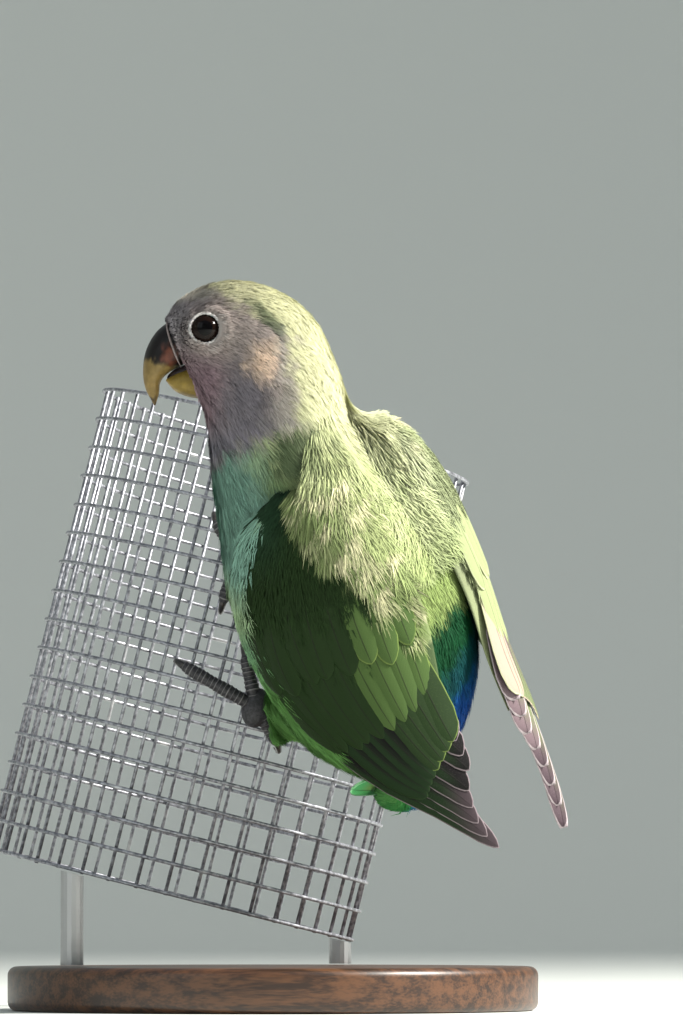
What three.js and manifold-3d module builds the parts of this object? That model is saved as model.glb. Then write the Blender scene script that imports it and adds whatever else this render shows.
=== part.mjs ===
// Peach-faced lovebird, life size, clinging to a cut length of wire mesh tube on a display stand.
// Millimetres, +Z up. The origin is the centre of the underside of the base.
// The bird's back is turned towards -Y and +X, and its head faces -X.
import * as THREE from 'three';
import { mergeVertices } from 'three/addons/utils/BufferGeometryUtils.js';
import Module from 'manifold-3d';

const wasm = await Module();
wasm.setup();

// Clearance between pieces that touch
const gap = 0.3;

// Display stand
const baseRadius = 60;
const baseThickness = 10;
const baseEdge = 2;
const rodRadius = 2.6;

// Wire mesh tube: every second wire of the real mesh, as bars of narrow pierced panels side by side
const tubeFoot = new THREE.Vector3(-24.2, 28, 26);
const tubeTilt = 14.2;
const tubeInnerRadius = 42.5;
const tubeOuterRadius = 43.9;
const meshPitch = 6.8;
const wiresAround = 20;
const ringCount = 9;
const barWidth = 1;
const wiresPerPanel = 2;

// Trunk: its lean to the left, its pitch away from the tube and the turn of its back
const trunkCentre = new THREE.Vector3(16.3, -45, 93.7);
const trunkLean = 27;
const trunkPitch = 22;
const trunkTurn = 50;
const sectionSides = 32;
const sectionPower = 0.92;

// Sections of the trunk: place in the trunk's own frame, half width and depths behind and ahead
const trunkRows = [
  { side: 0, back: -5, up: -48, turn: 0, halfWidth: 8.5, behind: 5.5, ahead: 8 },
  { side: 0, back: -1, up: -41, turn: 0, halfWidth: 15, behind: 10, ahead: 17 },
  { side: 0, back: 0.5, up: -29, turn: 0, halfWidth: 22.5, behind: 16.5, ahead: 27 },
  { side: -1.5, back: 0.5, up: -10, turn: 0, halfWidth: 26.5, behind: 22.5, ahead: 27 },
  { side: -1.5, back: 2, up: 9, turn: 0, halfWidth: 26, behind: 22.5, ahead: 27 },
  { side: -1, back: 3.5, up: 25, turn: 0.03, halfWidth: 21.5, behind: 19.5, ahead: 22.5 },
  { side: -1.5, back: 3, up: 38.5, turn: 0.25, halfWidth: 17.3, behind: 15.5, ahead: 17.5 },
  { side: -3, back: 2, up: 49, turn: 0.6, halfWidth: 15.5, behind: 17.3, ahead: 14.5 },
];

// Sections of the head in its own level frame
const headCentre = new THREE.Vector3(-6, -62, 145.3);
const headRows = [
  { side: 0, back: 1.5, up: -1, turn: 1, halfWidth: 13.8, behind: 18, ahead: 17.3 },
  { side: 0, back: 0, up: 4.5, turn: 1, halfWidth: 13.3, behind: 17, ahead: 17.3 },
  { side: 0, back: -1, up: 9, turn: 1, halfWidth: 11.3, behind: 14, ahead: 14.6 },
  { side: 0, back: -1.6, up: 12.6, turn: 1, halfWidth: 7.5, behind: 9.3, ahead: 9.3 },
  { side: 0, back: -2, up: 14.4, turn: 1, halfWidth: 3.2, behind: 4, ahead: 4 },
  { side: 0, back: -2, up: 14.8, turn: 1, halfWidth: 0.6, behind: 0.8, ahead: 0.8 },
];
const neckStart = 5.75;
const headStart = 6.8;

// Eyes, lids, nostrils and bill, in the head's frame
const eyeRadius = 3.6;
const eyeSide = 9.9;
const eyeBack = -8;
const eyeUp = 3;
const lidRadius = 3.4;
const lidThickness = 0.65;
const lidOffset = 1.9;
const nostrilRadius = 0.7;
const culmen = [[-15.2, 6.2], [-18.8, 3.4], [-21.1, -0.6], [-21.8, -4.9], [-21.3, -9], [-19.3, -12.9]];
const upperEdge = [[-11.2, -3.2], [-14, -4.4], [-16.6, -6], [-18, -7.8], [-18.3, -10.2], [-19, -12.7]];
const upperWidths = [5.2, 4.9, 4.2, 3.1, 1.8, 0.4];
const lowerEdge = [[-9.8, -3.9], [-12.2, -4.6], [-14.4, -5.5], [-16.4, -6.9]];
const lowerKeel = [[-9.4, -11.4], [-12.4, -10.8], [-14.9, -9.6], [-16.8, -7.5]];
const lowerWidths = [4.6, 4.1, 3.2, 1.9];

// Wings, laid out on the back unrolled flat: distance round from the midline, height along the trunk
const unrollRadius = 28;
const wingClearance = 0.9;
const wingFirstBodyRow = 3;
const wingForms = [
  { side: 0, back: 2, up: -76, turn: 0, halfWidth: 20, behind: 17, ahead: 17 },
  { side: 0, back: 2, up: -51, turn: 0, halfWidth: 22.5, behind: 17.5, ahead: 20 },
  { side: 0, back: 1.5, up: -29, turn: 0, halfWidth: 25, behind: 19, ahead: 26 },
  ...trunkRows.slice(wingFirstBodyRow),
];
const wings = {
  left: {
    sign: 1,
    lead: [[35, 32], [48, 24], [54.5, 8], [53.5, -12], [42, -33], [26.5, -48.5], [14.5, -63]],
    inner: [[8, 31], [6, 19], [6, 0], [8, -19], [11, -37], [12, -51], [13, -63]],
  },
  right: {
    sign: -1,
    lead: [[30, 31], [43, 23], [50, 6], [49, -12], [39, -33], [26, -52], [11, -72]],
    inner: [[8, 31], [6, 19], [6, 0], [8, -19], [9, -37], [9, -54], [9, -68]],
  },
};
const wingRootThickness = 3.8;
const wingRimThickness = 1;
const wingCoreEnd = 0.7;

// Wing feathers in rows: where they begin and end along the wing, and the lift of their tips
const vaneThickness = 0.5;
const vaneSink = 1.1;
const covertColumns = 5;
const covertRows = [
  { from: 0.04, to: 0.25, lift: 0.5 },
  { from: 0.16, to: 0.39, lift: 0.6 },
  { from: 0.29, to: 0.56, lift: 1.2 },
];
const covertDip = 1;
const secondaries = {
  count: 4,
  across: 0.62,
  acrossStep: 0.15,
  root: 0.44,
  tip: 0.8,
  tipStep: 0.035,
  halfWidth: 4.6,
};
const primaries = {
  count: 6,
  across: 0.93,
  acrossStep: 0.13,
  root: 0.55,
  tip: 1,
  tipStep: 0.045,
  halfWidth: 3.9,
};
const primarySweep = 0.16;
const innermost = 0.05;
const layerStep = 0.4;
const covertShape = [[0, 0.5], [0.4, 0.95], [0.8, 0.85], [1, 0.3]];
const quillShape = [[0, 0.5], [0.3, 0.9], [0.65, 1], [0.88, 0.75], [1, 0.2]];

// Tail: its path bends from the rump towards the tube
const tailLength = 6;
const tailTip = new THREE.Vector3(21, 2.5, 53);
const tailRows = [
  { at: 0, halfWidth: 7.8, halfDepth: 5.6 },
  { at: 0.2, halfWidth: 8, halfDepth: 5 },
  { at: 0.4, halfWidth: 7.6, halfDepth: 3.6 },
  { at: 0.55, halfWidth: 6, halfDepth: 2.3 },
  { at: 0.66, halfWidth: 4, halfDepth: 1.2 },
];
const tailPairs = 5;
const tailFan = 7.6;
const upperCoverts = [[-4, 0.5], [4, 0.5], [0, 0.62]];
const lowerCoverts = [[-3, 0.5], [3, 0.55]];

// Legs: joints in the trunk's frame, then the foot on the tube as angle from its front and height
const footRadius = 46.6;
const palmHalfLength = 4.6;
const palmHalfWidth = 3.4;
const palmHalfDepth = 2.3;
const ankleReach = 5.4;
const toeRadius = 1.35;
const clawRadius = 0.95;
const clawLength = 5.6;
const hookStart = 1.3;
const hookSwing = 0.4;
const legs = {
  left: {
    hip: [8, -14, -14],
    knee: [12, -22, -22],
    heel: [11.2, -27, -30],
    palm: { angle: 12, height: 45.7 },
    claws: [
      { angle: -13.5, height: 51.5 },
      { angle: 4.5, height: 58.3 },
      { angle: 22.5, height: 37.9 },
      { angle: 31.5, height: 44.7 },
    ],
  },
  right: {
    hip: [-8, -14, 0],
    knee: [-12, -21, -2],
    heel: [-11, -28, -4],
    palm: { angle: -3, height: 77 },
    claws: [
      { angle: 4.5, height: 92.3 },
      { angle: -13.5, height: 85.5 },
      { angle: 4.5, height: 65.1 },
      { angle: -4.5, height: 65.1 },
    ],
  },
};

// Finishes
const finishes = {
  face: { color: 0xb59a96, roughness: 0.85, metalness: 0 },
  mantle: { color: 0x8fa85a, roughness: 0.85, metalness: 0 },
  body: { color: 0x86b07c, roughness: 0.85, metalness: 0 },
  wing: { color: 0x5f7f3c, roughness: 0.8, metalness: 0 },
  tail: { color: 0x3f9a6a, roughness: 0.8, metalness: 0 },
  bill: { color: 0xa08a4c, roughness: 0.4, metalness: 0 },
  eye: { color: 0x120d0b, roughness: 0.1, metalness: 0 },
  scales: { color: 0x4a4a4c, roughness: 0.7, metalness: 0 },
  claw: { color: 0x26262a, roughness: 0.45, metalness: 0 },
  wire: { color: 0xa9abae, roughness: 0.45, metalness: 0.9 },
  wood: { color: 0x4a3426, roughness: 0.5, metalness: 0 },
  steel: { color: 0xb8b8ba, roughness: 0.35, metalness: 1 },
};

const part = new THREE.Group();

function addNode(name, geometry, finish) {
  const mesh = new THREE.Mesh(geometry, new THREE.MeshStandardMaterial(finish));
  mesh.name = name;
  part.add(mesh);
}

// Frame with a side, a back and an up direction, in which places are given as three distances
function makeFrame(origin, up, backGuess) {
  const back = backGuess.clone().addScaledVector(up, -backGuess.dot(up)).normalize();
  const side = new THREE.Vector3().crossVectors(back, up);
  const turn = new THREE.Quaternion().setFromRotationMatrix(new THREE.Matrix4().makeBasis(side, back, up));
  return { origin, turn };
}

function place(frame, side, back, up) {
  return new THREE.Vector3(side, back, up).applyQuaternion(frame.turn).add(frame.origin);
}

function direction(turn, side, back, up) {
  return new THREE.Vector3(side, back, up).applyQuaternion(turn);
}

const radians = THREE.MathUtils.degToRad;
const lean = radians(trunkLean);
const pitch = radians(trunkPitch);
const trunkUp = new THREE.Vector3(-Math.sin(lean), -Math.tan(pitch), Math.cos(lean)).normalize();
const trunkBack = new THREE.Vector3(Math.sin(radians(trunkTurn)), -Math.cos(radians(trunkTurn)), 0);
const trunk = makeFrame(trunkCentre, trunkUp, trunkBack);
const head = makeFrame(headCentre, new THREE.Vector3(0, 0, 1), new THREE.Vector3(1, 0, 0));
const tubeAxis = new THREE.Vector3(Math.sin(radians(tubeTilt)), 0, Math.cos(radians(tubeTilt)));
const tube = makeFrame(tubeFoot, tubeAxis, new THREE.Vector3(0, 1, 0));

// Smooth curve through rows of numbers, read at any value of the key
function smoothRows(rows, key) {
  const names = Object.keys(rows[0]);
  const last = rows.length - 1;
  const slope = (index, name) => {
    const before = rows[Math.max(index - 1, 0)];
    const after = rows[Math.min(index + 1, last)];
    return (after[name] - before[name]) / (after[key] - before[key]);
  };
  return (at) => {
    let index = 0;
    while (index < last - 1 && at > rows[index + 1][key]) index += 1;
    const low = rows[index];
    const high = rows[index + 1];
    const span = high[key] - low[key];
    const t = (at - low[key]) / span;
    const result = {};
    for (const name of names) {
      const rise = (t * t * t - 2 * t * t + t) * slope(index, name) * span;
      const fall = (t * t * t - t * t) * slope(index + 1, name) * span;
      const blend = 3 * t * t - 2 * t * t * t;
      result[name] = low[name] * (1 - blend) + high[name] * blend + rise + fall;
    }
    return result;
  };
}

// Closed surface through rings of points, with a flat fan on each end
function loft(rings) {
  const sides = rings[0].length;
  const positions = [];
  const faces = [];
  for (const ring of rings) {
    for (const point of ring) positions.push(point.x, point.y, point.z);
  }
  for (let row = 0; row < rings.length - 1; row += 1) {
    for (let column = 0; column < sides; column += 1) {
      const a = row * sides + column;
      const b = row * sides + ((column + 1) % sides);
      faces.push(a, b, b + sides, a, b + sides, a + sides);
    }
  }
  for (const [row, order] of [[0, 1], [rings.length - 1, -1]]) {
    const centre = rings[row].reduce((sum, point) => sum.add(point), new THREE.Vector3());
    centre.multiplyScalar(1 / sides);
    const hub = positions.length / 3;
    positions.push(centre.x, centre.y, centre.z);
    for (let column = 0; column < sides; column += 1) {
      const a = row * sides + column;
      const b = row * sides + ((column + 1) % sides);
      faces.push(hub, order > 0 ? b : a, order > 0 ? a : b);
    }
  }
  return outwards(positions, faces);
}

// Geometry from points and faces, with its faces pointing out
function outwards(positions, faces) {
  const corner = (index) => new THREE.Vector3().fromArray(positions, index * 3);
  let volume = 0;
  for (let i = 0; i < faces.length; i += 3) {
    const cross = new THREE.Vector3().crossVectors(corner(faces[i + 1]), corner(faces[i + 2]));
    volume += corner(faces[i]).dot(cross);
  }
  const order = volume > 0 ? faces : faces.slice().reverse();
  const geometry = new THREE.BufferGeometry();
  geometry.setAttribute('position', new THREE.Float32BufferAttribute(positions, 3));
  geometry.setIndex(order);
  return geometry;
}

function toSolid(geometry) {
  const bare = geometry.clone();
  bare.deleteAttribute('normal');
  bare.deleteAttribute('uv');
  const merged = mergeVertices(bare, 1e-4);
  const vertProperties = new Float32Array(merged.attributes.position.array);
  const triVerts = new Uint32Array(merged.index.array);
  return new wasm.Manifold(new wasm.Mesh({ numProp: 3, vertProperties, triVerts }));
}

// Largest closed surface of a solid, as a geometry
function toGeometry(solid) {
  const pieces = solid.decompose().sort((a, b) => b.volume() - a.volume());
  const mesh = pieces[0].getMesh();
  const geometry = new THREE.BufferGeometry();
  geometry.setAttribute('position', new THREE.BufferAttribute(new Float32Array(mesh.vertProperties), 3));
  geometry.setIndex(Array.from(mesh.triVerts));
  return geometry;
}

function fuse(geometries) {
  return geometries.map(toSolid).reduce((sum, solid) => sum.add(solid));
}

function cut(solid, geometries) {
  return geometries.map(toSolid).reduce((rest, solid2) => rest.subtract(solid2), solid);
}

// Sine or cosine drawn out towards a fuller section
function fuller(value) {
  return Math.sign(value) * Math.abs(value) ** sectionPower;
}

// Section a little fuller than an ellipse, with its own depths behind and ahead
function sectionRing(centre, turn, row, grow = 0) {
  const ring = [];
  for (let i = 0; i < sectionSides; i += 1) {
    const angle = (2 * Math.PI * i) / sectionSides;
    const sine = fuller(Math.sin(angle));
    const cosine = fuller(Math.cos(angle));
    const depth = (cosine > 0 ? row.behind : row.ahead) + grow;
    ring.push(direction(turn, sine * (row.halfWidth + grow), cosine * depth, 0).add(centre));
  }
  return ring;
}

// The body from rump to crown: one run of sections, numbered from the rump
function stationRow(frame, row, station) {
  const centre = place(frame, row.side, row.back, row.up);
  const { turn, halfWidth, behind, ahead } = row;
  return { station, x: centre.x, y: centre.y, z: centre.z, turn, halfWidth, behind, ahead };
}
const bodyRows = [
  ...trunkRows.map((row, index) => stationRow(trunk, row, index)),
  ...headRows.map((row, index) => stationRow(head, row, trunkRows.length + index)),
];
const bodyAt = smoothRows(bodyRows, 'station');

function bodyTurn(row) {
  return trunk.turn.clone().slerp(head.turn, THREE.MathUtils.clamp(row.turn, 0, 1));
}

function bodyRing(station, grow = 0, shift = 0) {
  const row = bodyAt(station);
  const centre = direction(bodyTurn(row), 0, 0, shift).add(new THREE.Vector3(row.x, row.y, row.z));
  return sectionRing(centre, bodyTurn(row), row, grow);
}

function steps(from, to, count) {
  return Array.from({ length: count + 1 }, (unused, i) => from + ((to - from) * i) / count);
}

const lastStation = bodyRows.length - 1;
const torso = loft(steps(0, neckStart, 13).map((station) => bodyRing(station)));
const torsoGrown = loft([
  bodyRing(0, gap, -gap),
  ...steps(0, neckStart, 13).map((station) => bodyRing(station, gap)),
]);
const neck = loft([
  bodyRing(neckStart, 0, gap),
  ...steps(neckStart, headStart, 4).slice(1).map((station) => bodyRing(station)),
]);
const skull = loft([
  bodyRing(headStart, 0, gap),
  ...steps(headStart, lastStation, 11).slice(1).map((station) => bodyRing(station)),
]);

// Horn between two edges in the head's mid plane, grown on all sides where it cuts its seat
function horn(topEdge, bottomEdge, widths, sides, grow = 0) {
  const ring = (index, inward) => {
    const [topBack, topUp] = topEdge[index];
    const [lowBack, lowUp] = bottomEdge[index];
    const across = new THREE.Vector2(topBack - lowBack, topUp - lowUp);
    const half = across.length() / 2 + grow;
    across.normalize();
    const backMid = (topBack + lowBack) / 2 + inward;
    const upMid = (topUp + lowUp) / 2;
    return Array.from({ length: sides }, (unused, i) => {
      const angle = (2 * Math.PI * i) / sides;
      const rise = Math.cos(angle) * half;
      const side = Math.sin(angle) * (widths[index] + grow);
      return place(head, side, backMid + across.x * rise, upMid + across.y * rise);
    });
  };
  const rings = widths.map((unused, index) => ring(index, 0));
  if (grow > 0) rings.unshift(ring(0, grow * 2));
  return loft(rings);
}

const billUpper = horn(culmen, upperEdge, upperWidths, 14);
const billLower = horn(lowerEdge, lowerKeel, lowerWidths, 12);
const billSeats = [
  horn(culmen, upperEdge, upperWidths, 14, gap),
  horn(lowerEdge, lowerKeel, lowerWidths, 12, gap),
];

function ball(radius, columns, rows, centre) {
  const geometry = new THREE.SphereGeometry(radius, columns, rows);
  geometry.translate(centre.x, centre.y, centre.z);
  return geometry;
}

const lids = [];
const sockets = [];
const nostrils = [];
for (const sign of [1, -1]) {
  const eyeCentre = place(head, sign * eyeSide, eyeBack, eyeUp);
  const lid = new THREE.TorusGeometry(lidRadius, lidThickness, 6, 14);
  lid.rotateX(Math.PI / 2);
  const lidCentre = place(head, sign * (eyeSide + lidOffset), eyeBack, eyeUp);
  lid.translate(lidCentre.x, lidCentre.y, lidCentre.z);
  lids.push(lid);
  sockets.push(ball(eyeRadius + gap, 14, 8, eyeCentre));
  nostrils.push(ball(nostrilRadius, 8, 6, place(head, sign * 3.2, -17.2, 4.4)));
  addNode(sign > 0 ? 'eye_left' : 'eye_right', ball(eyeRadius, 14, 8, eyeCentre), finishes.eye);
}

addNode('torso', torso, finishes.body);
addNode('neck', neck, finishes.mantle);
const headSolid = cut(fuse([skull, ...lids]), [...sockets, ...nostrils, ...billSeats]);
addNode('head', toGeometry(headSolid), finishes.face);
addNode('bill_upper', billUpper, finishes.bill);
addNode('bill_lower', billLower, finishes.bill);

// Surface that the folded wings lie on, at a distance round the back and a height along the trunk
const formRows = wingForms.map((row, index) => stationRow(trunk, row, index));
const formAt = smoothRows(formRows, 'station');
const formStation = smoothRows(wingForms.map((row, station) => ({ up: row.up, station })), 'up');

function formSurface(sign, round, up) {
  const row = formAt(formStation(up).station);
  const angle = round / unrollRadius;
  const sine = fuller(Math.sin(angle));
  const cosine = fuller(Math.cos(angle));
  const depth = (cosine > 0 ? row.behind : row.ahead) + wingClearance;
  const offset = direction(bodyTurn(row), sign * sine * (row.halfWidth + wingClearance), cosine * depth, 0);
  return offset.add(new THREE.Vector3(row.x, row.y, row.z));
}

function formPoint(sign, round, up, height) {
  const step = 0.5;
  const acrossWay = formSurface(sign, round + step, up).sub(formSurface(sign, round - step, up));
  const alongWay = formSurface(sign, round, up + step).sub(formSurface(sign, round, up - step));
  const normal = acrossWay.cross(alongWay).normalize().multiplyScalar(-sign);
  return formSurface(sign, round, up).addScaledVector(normal, height);
}

function edgeCurve(points) {
  return new THREE.SplineCurve(points.map(([round, up]) => new THREE.Vector2(round, up)));
}

function wingPoint(wing, along, across, height) {
  const lead = wing.leadCurve.getPointAt(along);
  const inner = wing.innerCurve.getPointAt(along);
  const at = inner.lerp(lead, across);
  return formPoint(wing.sign, at.x, at.y, height);
}

// Closed slab on the wing form between two heights
function slab(wing, from, to, rows, columns, thicknessAt) {
  const rings = steps(from, to, rows).map((along) => {
    const low = steps(0, 1, columns).map((across) => wingPoint(wing, along, across, 0));
    const high = steps(1, 0, columns).map((across) => (
      wingPoint(wing, along, across, thicknessAt(along, across))
    ));
    return [...low, ...high];
  });
  return stripLoft(rings, columns);
}

// Loft of flat rings that run out along one face and back along the other, with strip ends
function stripLoft(rings, columns) {
  const sides = rings[0].length;
  const positions = rings.flat().flatMap((point) => [point.x, point.y, point.z]);
  const faces = [];
  for (let row = 0; row < rings.length - 1; row += 1) {
    for (let column = 0; column < sides; column += 1) {
      const a = row * sides + column;
      const b = row * sides + ((column + 1) % sides);
      if (column < columns) faces.push(a, b, b + sides, a, b + sides, a + sides);
      else faces.push(a, b, a + sides, b, b + sides, a + sides);
    }
  }
  for (const [row, order] of [[0, 1], [rings.length - 1, -1]]) {
    for (let column = 0; column < columns; column += 1) {
      const a = row * sides + column;
      const b = a + 1;
      const c = row * sides + sides - 2 - column;
      const d = c + 1;
      if (order > 0) faces.push(b, a, d, b, d, c);
      else faces.push(a, b, d, b, c, d);
    }
  }
  return outwards(positions, faces);
}

function coreThickness(along, across) {
  const edge = Math.min(1, 0.25 + 3.2 * across * (1 - across), 0.1 + 8 * along);
  const fall = Math.max(0, 1 - along / (wingCoreEnd + 0.02));
  return wingRimThickness + (wingRootThickness - wingRimThickness) * fall * edge;
}

// Feather vane: a thin closed blade from its root to its tip in a layout that pointAt maps to space
function blade(pointAt, { root, tip, halfWidth, rootHeight, tipHeight, dip, shape }) {
  const along = tip.clone().sub(root);
  const across = new THREE.Vector2(-along.y, along.x).normalize();
  const rings = shape.map(([share, width]) => {
    const middle = root.clone().addScaledVector(along, share);
    const height = THREE.MathUtils.lerp(rootHeight, tipHeight, share);
    const edge = (side, lift) => {
      const at = middle.clone().addScaledVector(across, side * width * halfWidth);
      const tilt = 0.5 * dip * side * Math.min(1, share * 3);
      return pointAt(at.x, at.y, height + tilt + lift);
    };
    return [edge(-1, 0), edge(1, 0), edge(1, vaneThickness), edge(-1, vaneThickness)];
  });
  return stripLoft(rings, 1);
}

for (const [name, wing] of Object.entries(wings)) {
  wing.leadCurve = edgeCurve(wing.lead);
  wing.innerCurve = edgeCurve(wing.inner);
  const layoutAt = (along, across) => {
    const lead = wing.leadCurve.getPointAt(along);
    return wing.innerCurve.getPointAt(along).lerp(lead, across);
  };
  const onForm = (round, up, height) => formPoint(wing.sign, round, up, height);
  const spacing = (along, share) => layoutAt(along, 0).distanceTo(layoutAt(along, 1)) * share;
  const pieces = [slab(wing, 0, wingCoreEnd, 11, 6, coreThickness)];
  covertRows.forEach(({ from, to, lift }) => {
    for (let column = 0; column < covertColumns; column += 1) {
      const across = 0.03 + (0.94 * (column + 0.5)) / covertColumns;
      pieces.push(blade(onForm, {
        root: layoutAt(from, across),
        tip: layoutAt(to, across),
        halfWidth: spacing((from + to) / 2, 0.64 / covertColumns),
        rootHeight: coreThickness(from, across) - vaneSink,
        tipHeight: coreThickness(to, across) + lift,
        dip: covertDip,
        shape: covertShape,
      }));
    }
  });
  for (let index = 0; index < secondaries.count; index += 1) {
    const across = secondaries.across - secondaries.acrossStep * index;
    pieces.push(blade(onForm, {
      root: layoutAt(secondaries.root, across),
      tip: layoutAt(secondaries.tip - secondaries.tipStep * index, Math.max(across - 0.08, innermost)),
      halfWidth: secondaries.halfWidth,
      rootHeight: coreThickness(secondaries.root, across) - vaneSink,
      tipHeight: layerStep * (index + primaries.count),
      dip: covertDip,
      shape: quillShape,
    }));
  }
  for (let index = 0; index < primaries.count; index += 1) {
    const across = primaries.across - primaries.acrossStep * index;
    const tipAcross = Math.max(0.9 - primarySweep * index, innermost);
    pieces.push(blade(onForm, {
      root: layoutAt(primaries.root - 0.01 * index, across),
      tip: layoutAt(primaries.tip - primaries.tipStep * index, tipAcross),
      halfWidth: primaries.halfWidth,
      rootHeight: 0.35,
      tipHeight: 0.7 + layerStep * index,
      dip: covertDip,
      shape: quillShape,
    }));
  }
  addNode(`wing_${name}`, toGeometry(fuse(pieces)), finishes.wing);
}

// Rings across a path, at arc lengths from 0 to 1, with a reference that sets their width
function ringsAlong(path, rows, reference, sides) {
  return rows.map((row) => {
    const centre = path.getPointAt(row.at);
    const tangent = path.getTangentAt(row.at);
    const width = reference.clone().addScaledVector(tangent, -reference.dot(tangent)).normalize();
    const depth = new THREE.Vector3().crossVectors(tangent, width);
    return Array.from({ length: sides }, (unused, i) => {
      const angle = (2 * Math.PI * i) / sides;
      return centre
        .clone()
        .addScaledVector(width, Math.cos(angle) * row.halfWidth)
        .addScaledVector(depth, Math.sin(angle) * row.halfDepth);
    });
  });
}

const rump = trunkRows[0];
const tailStart = place(trunk, rump.side, rump.back - 1, rump.up - gap);
const tailBend = place(trunk, rump.side, rump.back - 1, rump.up - gap - tailLength);
const tailPath = new THREE.QuadraticBezierCurve3(tailStart, tailBend, tailTip);
const tailSide = direction(trunk.turn, 1, 0, 0);
const tailAt = smoothRows(tailRows, 'at');
const tailCore = loft(ringsAlong(tailPath, steps(0, tailRows.at(-1).at, 7).map(tailAt), tailSide, 12));

const tailSpan = tailPath.getLength();

// Point in the tail's layout: distance to the side, distance from its root and height off its path
function onTail(lateral, distance, height) {
  const share = THREE.MathUtils.clamp(distance / tailSpan, 0, 1);
  const tangent = tailPath.getTangentAt(share);
  const width = tailSide.clone().addScaledVector(tangent, -tailSide.dot(tangent)).normalize();
  const depth = new THREE.Vector3().crossVectors(width, tangent);
  return tailPath
    .getPointAt(share)
    .addScaledVector(tangent, distance - share * tailSpan)
    .addScaledVector(width, lateral)
    .addScaledVector(depth, height);
}

// Tail feathers in pairs: the middle pair lies on top and the outer ones step down below it
const tailPieces = [tailCore];
for (let pair = 0; pair < tailPairs; pair += 1) {
  for (const sign of [1, -1]) {
    const share = (pair + 0.5) / tailPairs;
    const height = 1.6 - 0.8 * pair - (sign < 0 ? 0.4 : 0);
    tailPieces.push(blade(onTail, {
      root: new THREE.Vector2(sign * share * 3.6, tailSpan * 0.42),
      tip: new THREE.Vector2(sign * share * tailFan, tailSpan * (1 - 0.012 * pair * pair)),
      halfWidth: 3.4,
      rootHeight: height,
      tipHeight: height - 0.6,
      dip: 0,
      shape: quillShape,
    }));
  }
}
for (const [coverts, side] of [[upperCoverts, 1], [lowerCoverts, -1]]) {
  coverts.forEach(([lateral, reach], index) => {
    tailPieces.push(blade(onTail, {
      root: new THREE.Vector2(lateral * 0.8, tailSpan * 0.12),
      tip: new THREE.Vector2(lateral, tailSpan * reach),
      halfWidth: 3.4,
      rootHeight: side * 3.4,
      tipHeight: side * (2.6 + 0.4 * index),
      dip: 0,
      shape: quillShape,
    }));
  });
}
addNode('tail', toGeometry(cut(fuse(tailPieces), [torsoGrown])), finishes.tail);

// Point on or near the tube: angle from its front towards +X, height and distance from its axis
function tubePoint(angle, height, radius) {
  const turn = radians(angle);
  return place(tube, Math.sin(turn) * radius, -Math.cos(turn) * radius, height);
}

function roundRows(from, to, radii) {
  return radii.map((radius, index) => ({
    at: from + ((to - from) * index) / (radii.length - 1),
    halfWidth: radius,
    halfDepth: radius,
  }));
}

for (const [name, leg] of Object.entries(legs)) {
  const palm = tubePoint(leg.palm.angle, leg.palm.height, footRadius);
  const palmAngle = radians(leg.palm.angle);
  const radial = direction(tube.turn, Math.sin(palmAngle), -Math.cos(palmAngle), 0);
  const path = new THREE.CatmullRomCurve3([
    place(trunk, ...leg.hip),
    place(trunk, ...leg.knee),
    place(trunk, ...leg.heel),
    palm,
  ]);
  const length = path.getLength();
  const ankle = 1 - ankleReach / length;
  const across = direction(trunk.turn, 1, 0, 0);
  const shank = loft(ringsAlong(path, roundRows(0, ankle, [7, 7.5, 6.8, 5, 3, 2.1, 1.8, 1.8]), across, 12));
  addNode(`leg_${name}`, toGeometry(cut(toSolid(shank), [torsoGrown])), finishes.scales);

  const stub = loft(ringsAlong(path, roundRows(ankle + (gap + 0.15) / length, 1, [1.7, 1.9, 2]), across, 12));
  const sole = new THREE.SphereGeometry(1, 10, 6);
  sole.scale(palmHalfWidth, palmHalfDepth, palmHalfLength);
  sole.applyQuaternion(tube.turn);
  sole.translate(palm.x, palm.y, palm.z);
  const pieces = [stub, sole];
  leg.claws.forEach((claw, index) => {
    const reach = (share, radius) => {
      const angle = THREE.MathUtils.lerp(leg.palm.angle, claw.angle, share);
      const height = THREE.MathUtils.lerp(leg.palm.height, claw.height, share);
      return tubePoint(angle, height, radius);
    };
    const sweep = footRadius * radians(claw.angle - leg.palm.angle);
    const span = Math.hypot(sweep, claw.height - leg.palm.height);
    const digit = new THREE.CatmullRomCurve3([
      reach(0, footRadius),
      reach(0.45, 46.1),
      reach(0.78, 45.9),
      reach(1 - hookStart / span, 45),
      reach(1 + hookSwing / span, 43.2),
      reach(1 - hookSwing / span, 41.2),
    ]);
    const chord = reach(1, footRadius).sub(reach(0, footRadius));
    const aside = new THREE.Vector3().crossVectors(radial, chord).normalize();
    const whole = digit.getLength();
    const knuckle = 1 - clawLength / whole;
    const swell = [1.15, 1, 1.15, 1, 1.1, 0.85].map((share) => share * toeRadius);
    pieces.push(loft(ringsAlong(digit, roundRows(0, knuckle, swell), aside, 7)));
    const taper = [1, 0.95, 0.82, 0.6, 0.3].map((share) => share * clawRadius);
    const nail = loft(ringsAlong(digit, roundRows(knuckle + (gap + 0.05) / whole, 1, taper), aside, 6));
    addNode(`claw_${name}_${index + 1}`, nail, finishes.claw);
  });
  addNode(`foot_${name}`, toGeometry(fuse(pieces)), finishes.scales);
}

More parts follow.
